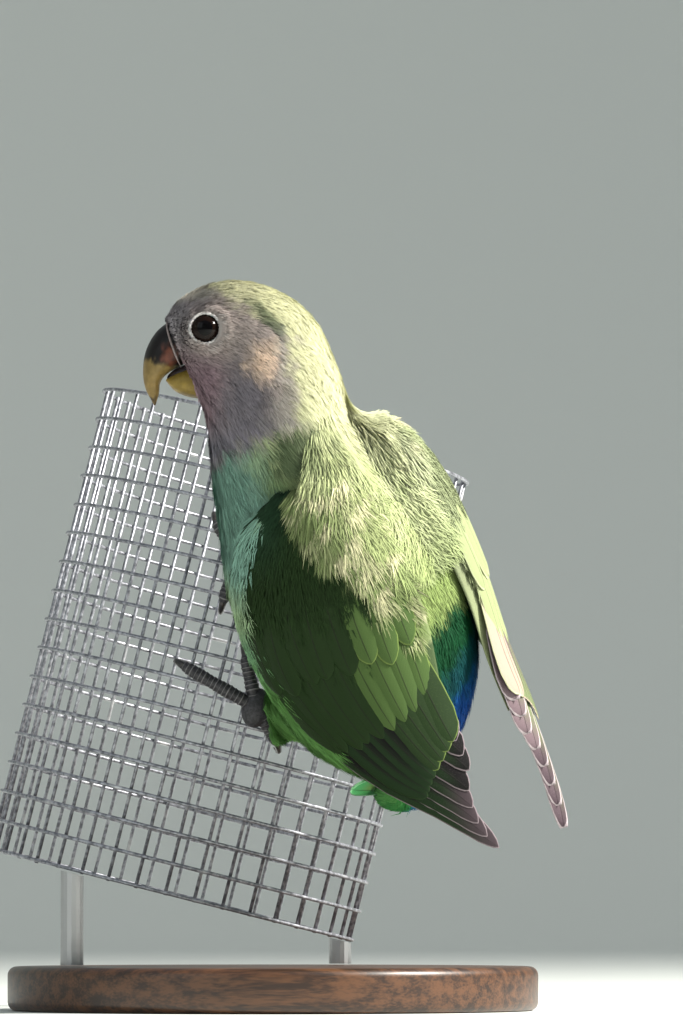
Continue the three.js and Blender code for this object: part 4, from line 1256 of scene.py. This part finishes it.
vane_finish = Finish("vanes", Roughness=0.55, Specular_IOR_Level=0.08)
barb_line = vane_finish.attribute("barb")
web_side = vane_finish.attribute("web")
barb_wave = (barb_line * BARB_WAVES).math("SINE")
web_place = vane_finish.node("ShaderNodeCombineXYZ", None, {0: barb_line * 0.9, 1: web_side * 3.0})
streak = vane_finish.noise(3.2, 3.0, web_place)
web_colour = vane_finish.attribute("plumage", "Color")
web_colour = vane_finish.mix(
    (barb_wave * 0.5 + 0.5) * 0.35, web_colour, vane_finish.mix(0.75, web_colour, shade("0c0b0a"))
)
web_colour = vane_finish.mix(
    streak.ramp(0.5, 0.8) * 0.1, web_colour, vane_finish.attribute("fringe", "Color")
)
edge_line = vane_finish.attribute("rim").ramp(0.42, 0.2)
web_colour = vane_finish.mix(edge_line * 0.8, web_colour, vane_finish.attribute("fringe", "Color"))
shaft_line = web_side.math("ABSOLUTE").ramp(0.06, 0.02)
web_colour = vane_finish.mix(shaft_line * 0.6, web_colour, shade("1c1818"))
vane_finish.set(Base_Color=web_colour)
vane_finish.bump(barb_wave * 0.5 + shaft_line * 1.5, 0.5, 0.00006)

ROWS_OF_COVERTS = (
    {"from": 0.22, "to": 0.43, "count": 8, "lift": 0.55},
    {"from": 0.34, "to": 0.59, "count": 9, "lift": 1.0},
)
COVERT_HALF = 3.3
WING_BREADTH = 46
PRIMARIES = 8
PRIMARY_HALF = 3.5
PRIMARY_ROOT = 0.5
PALE_PRIMARIES = 4
PRIMARY_ROLL = {"left": 0, "right": 0.9}
SECONDARIES = 8
SECONDARY_HALF = 4.0
SECONDARY_ROOT = 0.42
DARK_SECONDARIES = {"left": 4, "right": 6}

for name, wing in wings.items():
    codes = WING_LOOKS_SHADED_AND_LIT[name]

    def on_wing(spots, heights, wing=wing):
        return on_form(wing.sign, spots, heights)

    def path_between(start, end, wing=wing):
        """Curve in the layout from one place along and across the wing to another."""

        def path(shares):
            bend = shares**1.3
            along = start[0] + (end[0] - start[0]) * shares
            return wing.layout(along, start[1] + (end[1] - start[1]) * bend)

        return path

    plumes = Plumes(on_wing, 1)
    for row in ROWS_OF_COVERTS:
        for column in range(row["count"]):
            across = 0.11 + 0.82 * (column + 0.5) / row["count"]
            slip = chance.normal(0, 0.008)
            inner = 1 - min(1, max(0, (across - 0.3) / 0.3))
            level = wing_height(np.array([row["from"], row["to"]]), np.array([across, across]))
            middle = (row["from"] + row["to"]) / 2
            narrow = np.ptp(wing.layout(middle, np.array([0.0, 1.0]))[:, 0])
            main = codes["covert"] if inner > 0.5 else codes["outer"]
            rim = codes["pale"] if inner > 0.5 else codes["near"]
            plumes.add(
                path_between((row["from"], across), (row["to"] + slip, across + chance.normal(0, 0.012))),
                COVERT_HALF * narrow / WING_BREADTH, 0.45,
                (level[0] - 0.9, level[1] + row["lift"] - 0.25), COVERT_FORM,
                {"outer": main, "inner": main, "tip": main, "fringe": rim}, 0.5, 0.75,
            )
    for index in range(PRIMARIES):
        across = 0.95 - 0.1 * index
        tip_across = max(0.04, 0.78 - 0.15 * index) + chance.normal(0, 0.01)
        tip = codes["tip"] if index < PALE_PRIMARIES else codes["dark"]
        plumes.add(
            path_between((PRIMARY_ROOT - 0.006 * index, across), (1 - 0.043 * index, tip_across)),
            PRIMARY_HALF, 0.36, (0.2 + 0.06 * index, 0.45 + 0.3 * index), QUILL_FORM,
            {"outer": codes["web"], "inner": codes["dark"], "tip": tip, "fringe": codes["fringe"]},
            0.28, 0.72, PRIMARY_ROLL[name],
        )
    for index in range(SECONDARIES):
        across = 0.77 - 0.086 * index
        end = 0.775 - 0.012 * index
        level = wing_height(np.array([SECONDARY_ROOT]), np.array([across]))[0]
        inmost = index >= DARK_SECONDARIES[name]
        near = codes["near"] if inmost else codes["web"]
        far = codes["near"] if inmost else codes["dark"]
        rim = codes["pale"] if inmost else codes["near"]
        plumes.add(
            path_between((SECONDARY_ROOT, across), (end, max(0.09, across - 0.09))),
            SECONDARY_HALF, 0.42, (level - 0.9, 2.35 + 0.13 * index), QUILL_FORM,
            {"outer": near, "inner": far, "tip": near, "fringe": rim}, 0.4, 0.7,
        )
    plumes.build(f"vanes_{name}")


# Tail: short and blunt, pressed in towards the tube. A tapering core carries tufts above and
# below, and five pairs of green feathers fan out from it, the outer ones paler at the rim.

TAIL_TIP = np.array((21, 2.5, 53))
# Share of the tail's length, half width and half depth of its core there.
TAIL_ROWS = ((0, 7.6, 5.4), (0.2, 7.8, 4.8), (0.4, 7.4, 3.4), (0.55, 5.8, 2.1), (0.66, 3.8, 1.0))
CORE_RINGS = 26
CORE_SIDES = 40
TAIL_PAIRS = 5
TAIL_FAN = 7.6
TAIL_HALF = 3.2
MIDDLE_PAIR = {"outer": "357f45", "inner": "357f45", "tip": "3a8450", "fringe": "6fae76"}
SIDE_PAIRS = {"outer": "3f8a4a", "inner": "5d7f40", "tip": "4c9a5c", "fringe": "84b98c"}

tail_start = from_trunk(0, -6, -48.3)
tail_bend = from_trunk(0, -6, -54.3)
tail_shares = np.linspace(0, 1, 200)[:, None]
tail_line = (
    tail_start * (1 - tail_shares) ** 2
    + tail_bend * 2 * tail_shares * (1 - tail_shares)
    + TAIL_TIP * tail_shares**2
)
tail_steps = np.concatenate(([0], np.cumsum(np.linalg.norm(np.diff(tail_line, axis=0), axis=1))))
TAIL_SPAN = tail_steps[-1]
tail_ways = np.gradient(tail_line, axis=0)
tail_ways /= np.linalg.norm(tail_ways, axis=1, keepdims=True)


def on_tail(spots, heights):
    """Points for distances to the side and along the tail, at heights off its path."""
    distance = np.clip(spots[:, 1], 0, TAIL_SPAN)
    middle, way = [
        np.column_stack([np.interp(distance, tail_steps, table[:, k]) for k in range(3)])
        for table in (tail_line, tail_ways)
    ]
    way = way / np.linalg.norm(way, axis=1, keepdims=True)
    side = trunk_axes[0] - way * (way @ trunk_axes[0])[:, None]
    side /= np.linalg.norm(side, axis=1, keepdims=True)
    above = np.cross(side, way)
    beyond = (spots[:, 1] - distance)[:, None]
    return middle + way * beyond + side * spots[:, :1] + above * heights[:, None]


def tail_row(share, column):
    """Half width or half depth of the tail, read from its rows."""
    return np.interp(share, [row[0] for row in TAIL_ROWS], [row[column] for row in TAIL_ROWS])


tail_steps_along = np.linspace(-0.06, 0.66, CORE_RINGS)
tail_round = np.linspace(0, 2 * math.pi, CORE_SIDES, endpoint=False)
core_rings = []
for share in tail_steps_along:
    flat = np.column_stack((
        np.cos(tail_round) * (tail_row(share, 1) - 0.9), np.full(CORE_SIDES, share * TAIL_SPAN)
    ))
    core_rings.append(on_tail(flat, np.sin(tail_round) * (tail_row(share, 2) - 0.9)))


def tube_object(name, rings):
    """Closed tube through rings of points in millimetres, and the points in one array."""
    shape = bmesh.new()
    corners = bmesh.ops.create_circle(shape, segments=len(rings[0]), radius=MM)["verts"]
    loop = shape.edges[:]
    for ring in rings:
        if ring is not rings[0]:
            grown = bmesh.ops.extrude_edge_only(shape, edges=loop)["geom"]
            corners = [part for part in grown if isinstance(part, bmesh.types.BMVert)]
            loop = [part for part in grown if isinstance(part, bmesh.types.BMEdge) and part.is_boundary]
        for corner, point in zip(corners, ring):
            corner.co = point * MM
    ends = [edge for edge in shape.edges if edge.is_boundary]
    bmesh.ops.edgeloop_fill(shape, edges=ends)
    bmesh.ops.recalc_face_normals(shape, faces=shape.faces)
    return finished(name, shape), np.concatenate(rings)


def tail_colour(heights, distances, points):
    colour = np.tile(shade("3d8a48", False), (len(points), 1))
    paint(colour, "1c5f98", rise(heights, 2, 4) * rise(-distances, -5, -1))
    paint(colour, "5f9f56", rise(-heights, -1, 1.5))
    return colour


tail_core, tail_points = tube_object("tail_core", core_rings)
unwrap(tail_core)
tail_far = np.repeat(tail_steps_along * TAIL_SPAN, CORE_SIDES)
tail_turns = np.tile(tail_round, CORE_RINGS)
tail_high = np.sin(tail_turns) * tail_row(tail_far / TAIL_SPAN, 2)
# The core is painted darker than its tufts, as painted shade under them.
set_colour(tail_core.data, tail_colour(tail_high, tail_far, tail_points) * 0.7)
tail_core.data.materials.append(down.material)
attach(tail_core, "root")
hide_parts("tail")

chosen = np.tile(np.arange(len(tail_points)), 5)
far = tail_far[chosen] + chance.uniform(-0.6, 0.6, len(chosen))
turn = tail_turns[chosen] + chance.uniform(-0.08, 0.08, len(chosen))
long = chance.uniform(4, 6.5, len(chosen))


def around_tail(distance, out):
    """Points round the tail for the turns of the tufts, at a height over its core."""
    share = distance / TAIL_SPAN
    spots = np.column_stack((np.cos(turn) * (tail_row(share, 1) - 1 + out), distance))
    return on_tail(spots, np.sin(turn) * (tail_row(share, 2) - 1 + out))


roots = around_tail(far, 0)
middles = around_tail(far + long / 2, 0.9 * chance.uniform(0.7, 1.2, len(chosen)))
tips = around_tail(far + long, 0.9 * chance.uniform(0.6, 1.3, len(chosen)))
sides = np.cross(middles - around_tail(far + long / 2, np.zeros(len(chosen))), tips - roots)
sides /= np.linalg.norm(sides, axis=1, keepdims=True)
colour = tail_colour(tail_high[chosen], far, roots)
grow(
    "tail_coverts", "plumage", 3, 1.2, roots, middles, tips, sides,
    np.full(len(chosen), 0.34), colour, colour * 1.08, vertex_uvs(tail_core)[chosen],
)

tail_plumes = Plumes(on_tail, -1)
for pair in range(TAIL_PAIRS):
    for hand in (1, -1):
        share = (pair + 0.5) / TAIL_PAIRS
        height = 1.5 - 0.7 * pair - (0.35 if hand < 0 else 0)
        start = np.array((hand * share * 3.6, TAIL_SPAN * 0.35))
        end = np.array((hand * share * TAIL_FAN, TAIL_SPAN * (1 - 0.012 * pair * pair)))
        tail_plumes.add(
            lambda shares, start=start, end=end: start + (end - start) * shares[:, None],
            TAIL_HALF, 0.5 - 0.12 * hand * min(pair, 1), (height, height - 0.6), QUILL_FORM,
            SIDE_PAIRS if pair else MIDDLE_PAIR, 0.25, 0.62,
        )
tail_plumes.build("tail_vanes")


# Eyes: glossy dark brown balls with a black pupil, each in a ring of bare whitish skin that is
# beaded like fine grain.

eye_finish = Finish("eye", Roughness=0.12, Specular_IOR_Level=0.05, Coat_Weight=0.2, Coat_Roughness=0.03)
EYE_RADIUS = 3.55
RING_RADIUS = 3.3
RING_THICKNESS = 0.33
RING_SIDE = 11.95
BEADS = 26
for hand, side_name in ((1, "left"), (-1, "right")):
    ball = bmesh.new()
    bmesh.ops.create_uvsphere(ball, u_segments=48, v_segments=32, radius=EYE_RADIUS * MM)
    bmesh.ops.rotate(ball, verts=ball.verts, matrix=Matrix.Rotation(math.pi / 2, 3, "X"))
    centre = Vector(from_head(hand * EYE_PLACE[0], EYE_PLACE[1], EYE_PLACE[2])) * MM
    bmesh.ops.translate(ball, verts=ball.verts, vec=centre)
    bmesh.ops.recalc_face_normals(ball, faces=ball.faces)
    eye = finished(f"eyeball_{side_name}", ball)
    from_axis = np.array([
        math.hypot(vertex.co.x - centre.x, vertex.co.z - centre.z) / MM for vertex in eye.data.vertices
    ])
    set_number(eye.data, "iris", from_axis)
    eye.data.materials.append(eye_finish.material)
    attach(eye, "root")
    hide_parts(f"eye_{side_name}")

    ring = bmesh.new()
    section = bmesh.ops.create_circle(ring, segments=12, radius=RING_THICKNESS)["verts"]
    bmesh.ops.scale(ring, verts=section, vec=(1, 1.2, 1))
    bmesh.ops.translate(ring, verts=section, vec=(RING_RADIUS, 0, 0))
    bmesh.ops.spin(
        ring, geom=ring.verts[:] + ring.edges[:], cent=(0, 0, 0), axis=(0, 1, 0),
        angle=2 * math.pi, steps=96, use_merge=True,
    )
    for vertex in ring.verts:
        spot = Vector((vertex.co.x, 0, vertex.co.z)).normalized()
        bead = 0.07 * math.sin(math.atan2(spot.z, spot.x) * BEADS) + chance.normal(0, 0.02)
        vertex.co += vertex.co.normalized() * bead
    centre = Vector(from_head(hand * RING_SIDE, EYE_PLACE[1], EYE_PLACE[2]))
    bmesh.ops.translate(ring, verts=ring.verts, vec=centre)
    bmesh.ops.scale(ring, verts=ring.verts, vec=(MM, MM, MM))
    bmesh.ops.recalc_face_normals(ring, faces=ring.faces)
    eye_ring = finished(f"eye_ring_{side_name}", ring)
    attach(eye_ring, "root")
    if hand > 0:
        ring_finish = Finish("eye_ring", Roughness=0.55, Subsurface_Weight=0.1)
        ring_finish.set(Base_Color=ring_finish.mix(
            ring_finish.noise(1800, 3.0).ramp(0.35, 0.65), shade("9a9292"), shade("ddd7d3")
        ))
        ring_finish.bump(ring_finish.noise(2600, 2.0), 0.5, 0.0001)
    eye_ring.data.materials.append(ring_finish.material)
iris = eye_finish.attribute("iris")
eye_finish.set(Base_Color=eye_finish.mix(iris.ramp(1.55, 1.75), shade("030203"), shade("150b07")))


# Bill: two hooked horns. The upper one is black at the base, with a reddish patch on each side,
# and ochre towards its dark tip; the lower one is ochre. A thin pale line of bare skin runs where
# the upper horn leaves the face, and the tongue fills the mouth, coloured near black as painted
# shade inside the open bill.

# Places behind and above the head's centre along the edges of both horns, and half widths there.
CULMEN = ((-15.2, 6.2), (-18.8, 3.4), (-21.1, -0.6), (-21.8, -4.9), (-21.3, -9), (-19.3, -12.9))
UPPER_EDGE = ((-11.2, -3.2), (-14, -4.4), (-16.6, -6), (-18, -7.8), (-18.3, -10.2), (-19, -12.7))
UPPER_WIDTHS = (5.2, 4.9, 4.2, 3.1, 1.8, 0.25)
LOWER_EDGE = ((-9.8, -3.9), (-12.2, -4.6), (-14.4, -5.5), (-16.4, -6.9))
LOWER_KEEL = ((-9.4, -11.4), (-12.4, -10.8), (-14.9, -9.6), (-16.8, -7.5))
LOWER_WIDTHS = (4.6, 4.1, 3.2, 1.9)
CERE = (
    (-5.0, -13.4, -4.9), (-5.2, -14.2, -3.1), (-5.3, -15.1, -0.8), (-4.9, -16.0, 1.9),
    (-3.5, -16.5, 4.4), (-1.6, -16.1, 6.1), (0, -15.8, 6.6),
)
CERE_RINGS = 120
CERE_THICKNESS = 0.23
TONGUE_SIZE = (3.9, 2.3, 1.5)
TONGUE_TURN = math.radians(-22)
TONGUE_PLACE = (0, -12.9, -5.6)


def sweep(name, centres, radii, reference, sides, flatten=1.0):
    """Closed tube along a line of centres, with a radius at each."""
    ways = np.gradient(centres, axis=0)
    ways /= np.linalg.norm(ways, axis=1, keepdims=True)
    width = reference - ways * (ways @ reference)[:, None]
    width /= np.linalg.norm(width, axis=1, keepdims=True)
    depth = np.cross(ways, width)
    turns = np.linspace(0, 2 * math.pi, sides, endpoint=False)
    rings = [
        centre + radius * (np.cos(turns)[:, None] * w * flatten + np.sin(turns)[:, None] * d)
        for centre, radius, w, d in zip(centres, radii, width, depth)
    ]
    return tube_object(name, rings)[0]


def horn(name, top_edge, low_edge, widths, rings, sides):
    """Closed horn between two edges in the head's middle plane."""
    table = [[*top, *low, width] for top, low, width in zip(top_edge, low_edge, widths)]
    rows = smooth_table(range(len(table)), table)(np.linspace(0, len(table) - 1, rings))
    turns = np.linspace(0, 2 * math.pi, sides, endpoint=False)
    loops = []
    for top_back, top_up, low_back, low_up, width in rows:
        rise_share = (np.cos(turns) * 0.5 + 0.5)[:, None]
        middle = np.array((low_back, low_up)) * (1 - rise_share)
        middle = middle + np.array((top_back, top_up)) * rise_share
        side = np.sin(turns) * width * (1 - 0.12 * np.cos(turns))
        loops.append(np.array([from_head(s, b, u) for s, (b, u) in zip(side, middle)]))
    return tube_object(name, loops)


def horn_piece(name, node, edges, paint_horn):
    thing, points = horn(name, *edges)
    set_colour(thing.data, paint_horn(points), "horn")
    thing.data.materials.append(bill_finish.material)
    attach(thing, "root")
    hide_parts(node)


def upper_horn_colour(points):
    side, back, up = in_head(points).T
    ragged = cloud(points, 2.4, 41) * 0.45 + cloud(points, 1, 42) * 0.25
    colour = np.tile(shade("8a7445", False), (len(points), 1))
    paint(colour, "9a7f48", rise(-up, 5, 9) * 0.5)
    paint(colour, "8a8a70", rise(back + ragged * 0.5, -15.6, -14.2) * rise(-up, 1.5, 3))
    paint(colour, "130d0e", rise(up + ragged + 0.25 * (back + 17), -4.9, -3.3))
    red = np.hypot(back + 15.9, (up + 2.2) * 0.8)
    paint(colour, "6b3a2a", rise(-red + ragged, -2.3, -0.7) * rise(np.abs(side), 1.5, 3) * 0.9)
    paint(colour, "2c1e18", rise(-up + ragged, 10.6, 12.2) * 0.85)
    return colour


def lower_horn_colour(points):
    back, up = in_head(points).T[1:]
    ragged = cloud(points, 2, 43) * 0.4
    colour = np.tile(shade("8f7836", False), (len(points), 1))
    paint(colour, "6d5a2c", rise(-up + ragged, 9.2, 11))
    paint(colour, "3a2c20", rise(up - back * 0.4 + ragged, 0.9, 1.9) * 0.8)
    return colour


bill_finish = Finish(
    "bill_horn", Roughness=0.36, Specular_IOR_Level=0.25, Coat_Weight=0.05, Coat_Roughness=0.25
)
bill_mottle = bill_finish.noise(700, 4.0)
bill_finish.set(
    Base_Color=bill_finish.mix(
        bill_mottle.ramp(0.3, 0.7) * 0.3, bill_finish.attribute("horn", "Color"), shade("4a3522"),
        "MULTIPLY",
    ),
    Roughness=0.3 + bill_mottle * 0.2,
)
bill_finish.bump(bill_mottle, 0.25, 0.0001)
horn_piece(
    "upper_horn", "bill_upper", (CULMEN, UPPER_EDGE, UPPER_WIDTHS, 80, 48), upper_horn_colour
)
cere_stops = [from_head(*spot) for spot in CERE] + [from_head(-s, b, u) for s, b, u in CERE[-2::-1]]
cere_line = Rail3(cere_stops).at(np.linspace(0, 1, CERE_RINGS))
skin_finish = Finish("bare_skin", Roughness=0.6)
skin_finish.set(Base_Color=skin_finish.mix(
    skin_finish.noise(1500, 3.0).ramp(0.3, 0.7), shade("776a69"), shade("968a88")
))
from_end = np.minimum(np.linspace(0, 1, CERE_RINGS), np.linspace(1, 0, CERE_RINGS))
cere_radii = CERE_THICKNESS * np.clip(from_end * 12, 0.25, 1)
cere = sweep("cere", cere_line, cere_radii, np.array((0.0, 0.0, 1.0)), 12)
cere.data.materials.append(skin_finish.material)
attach(cere, "root")
tongue = bmesh.new()
bmesh.ops.create_uvsphere(tongue, u_segments=32, v_segments=20, radius=1)
bmesh.ops.scale(tongue, verts=tongue.verts, vec=TONGUE_SIZE)
bmesh.ops.rotate(tongue, verts=tongue.verts, matrix=Matrix.Rotation(TONGUE_TURN, 3, "Y"))
bmesh.ops.translate(tongue, verts=tongue.verts, vec=Vector(from_head(*TONGUE_PLACE)))
bmesh.ops.scale(tongue, verts=tongue.verts, vec=(MM, MM, MM))
bmesh.ops.recalc_face_normals(tongue, faces=tongue.faces)
tongue_piece = finished("tongue", tongue)
# The tongue is near black: painted shade inside the open bill.
tongue_shade_finish = Finish("tongue", Roughness=0.5)
tongue_shade_finish.set(Base_Color=tongue_shade_finish.mix(
    tongue_shade_finish.noise(500, 3.0).ramp(0.3, 0.7), shade("1c1416"), shade("33262a")
))
tongue_piece.data.materials.append(tongue_shade_finish.material)
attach(tongue_piece, "root")
horn_piece(
    "lower_horn", "bill_lower", (LOWER_EDGE, LOWER_KEEL, LOWER_WIDTHS, 50, 40), lower_horn_colour
)


# Feet: two toes point up the tube and two down it. Each toe is wrapped in rings of dark scales
# with pale worn edges, and ends in a hooked black claw that reaches through the mesh.

FOOT_RADIUS = 46.3
TOE_RADIUS = 1.5
CLAW_RADIUS = 0.85
CLAW_LENGTH = 5.6
SCALE_PITCH = 1.05
TOE_RING_STEP = 0.16
TOE_SIDES = 20
TOE_SWELL = ((0, 0.2, 0.4, 0.6, 0.8, 0.93, 1.03), (1.1, 1, 1.12, 0.98, 1.06, 0.92, 0.55))
CLAW_RINGS = 26
CLAW_SIDES = 16
CLAW_FLATNESS = 1.25
CLAW_TAPER = ((0, 0.15, 0.45, 0.75, 1), (0.95, 1, 0.82, 0.5, 0.12))
PALM_SIZE = (3.3, 2.2, 4.5)
# Angle round the tube from its front, and height, of each claw's tip.
CLAW_PLACES = {
    "left": ((-13.5, 51.5), (4.5, 58.3), (22.5, 37.9), (31.5, 44.7)),
    "right": ((4.5, 92.3), (-13.5, 85.5), (4.5, 65.1), (-4.5, 65.1)),
}

scale_finish = Finish("foot_scales", Roughness=0.55)
scale_phase = scale_finish.attribute("scale")
scale_noise = scale_finish.noise(1500, 3.0)
scale_tone = scale_finish.mix(scale_noise.ramp(0.35, 0.7), shade("232226"), shade("3b393e"))
scale_finish.set(Base_Color=scale_finish.mix(
    scale_phase.ramp(0.68, 0.92) * 0.6, scale_tone, shade("918d8f")
))
scale_finish.bump(scale_noise, 0.5, 0.0001)
claw_finish = Finish("claw_horn", Roughness=0.3, Coat_Weight=0.3)
claw_finish.set(Base_Color=claw_finish.mix(
    claw_finish.noise(600, 3.0).ramp(0.4, 0.7), shade("171416"), shade("39332f")
))

for name, claws in CLAW_PLACES.items():
    palm = PALMS[name]
    for number, (angle, height) in enumerate(claws):
        spread = FOOT_RADIUS * math.radians(angle - palm[0])
        span = math.hypot(spread, height - palm[1])
        stops = []
        for share, radius in (
            (0, FOOT_RADIUS), (0.25, FOOT_RADIUS + 0.3), (0.5, FOOT_RADIUS - 0.3), (0.78, 45.8),
            (1 - 1.3 / span, 45), (1 + 0.4 / span, 43.2), (1 - 0.4 / span, 41.2),
        ):
            stops.append(np.array(on_tube(
                palm[0] + (angle - palm[0]) * share, palm[1] + (height - palm[1]) * share, radius
            )))
        line = Rail3(stops)
        knuckle = 1 - CLAW_LENGTH / line.length
        shares = np.linspace(0, knuckle + 0.02, int(line.length * knuckle / TOE_RING_STEP))
        far = shares * line.length
        phase = (far / SCALE_PITCH) % 1
        radii = TOE_RADIUS * np.interp(shares / knuckle, *TOE_SWELL) * (0.91 + 0.14 * phase**2)
        centres = line.at(shares)
        axis = np.array(tube_turn.to_3x3() @ Vector((0, 0, 1)))
        foot_point = centres[0] - np.array(TUBE_FOOT)
        outwards = foot_point - axis * (foot_point @ axis)
        outwards /= np.linalg.norm(outwards)
        toe = sweep(f"toe_{name}_{number + 1}", centres, radii, outwards, TOE_SIDES)
        set_number(toe.data, "scale", np.repeat(phase, TOE_SIDES))
        toe.data.materials.append(scale_finish.material)
        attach(toe, "root")
        shares = np.linspace(knuckle - 0.01, 1, CLAW_RINGS)
        radii = CLAW_RADIUS * np.interp(np.linspace(0, 1, CLAW_RINGS), *CLAW_TAPER)
        claw = sweep(
            f"hook_{name}_{number + 1}", line.at(shares), radii, outwards, CLAW_SIDES, CLAW_FLATNESS
        )
        claw.data.materials.append(claw_finish.material)
        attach(claw, "root")
        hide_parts(f"claw_{name}_{number + 1}")
    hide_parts(f"foot_{name}")
    palm_point = palm_points[name]
    sole = bmesh.new()
    bmesh.ops.create_uvsphere(sole, u_segments=40, v_segments=28, radius=1)
    bmesh.ops.scale(sole, verts=sole.verts, vec=PALM_SIZE)
    bmesh.ops.transform(sole, matrix=tube_turn, verts=sole.verts)
    bmesh.ops.translate(sole, verts=sole.verts, vec=Vector(palm_point))
    bmesh.ops.scale(sole, verts=sole.verts, vec=(MM, MM, MM))
    bmesh.ops.recalc_face_normals(sole, faces=sole.faces)
    palm_pad = finished(f"palm_{name}", sole)
    set_number(palm_pad.data, "scale", np.zeros(len(palm_pad.data.vertices)))
    palm_pad.data.materials.append(scale_finish.material)
    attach(palm_pad, "root")
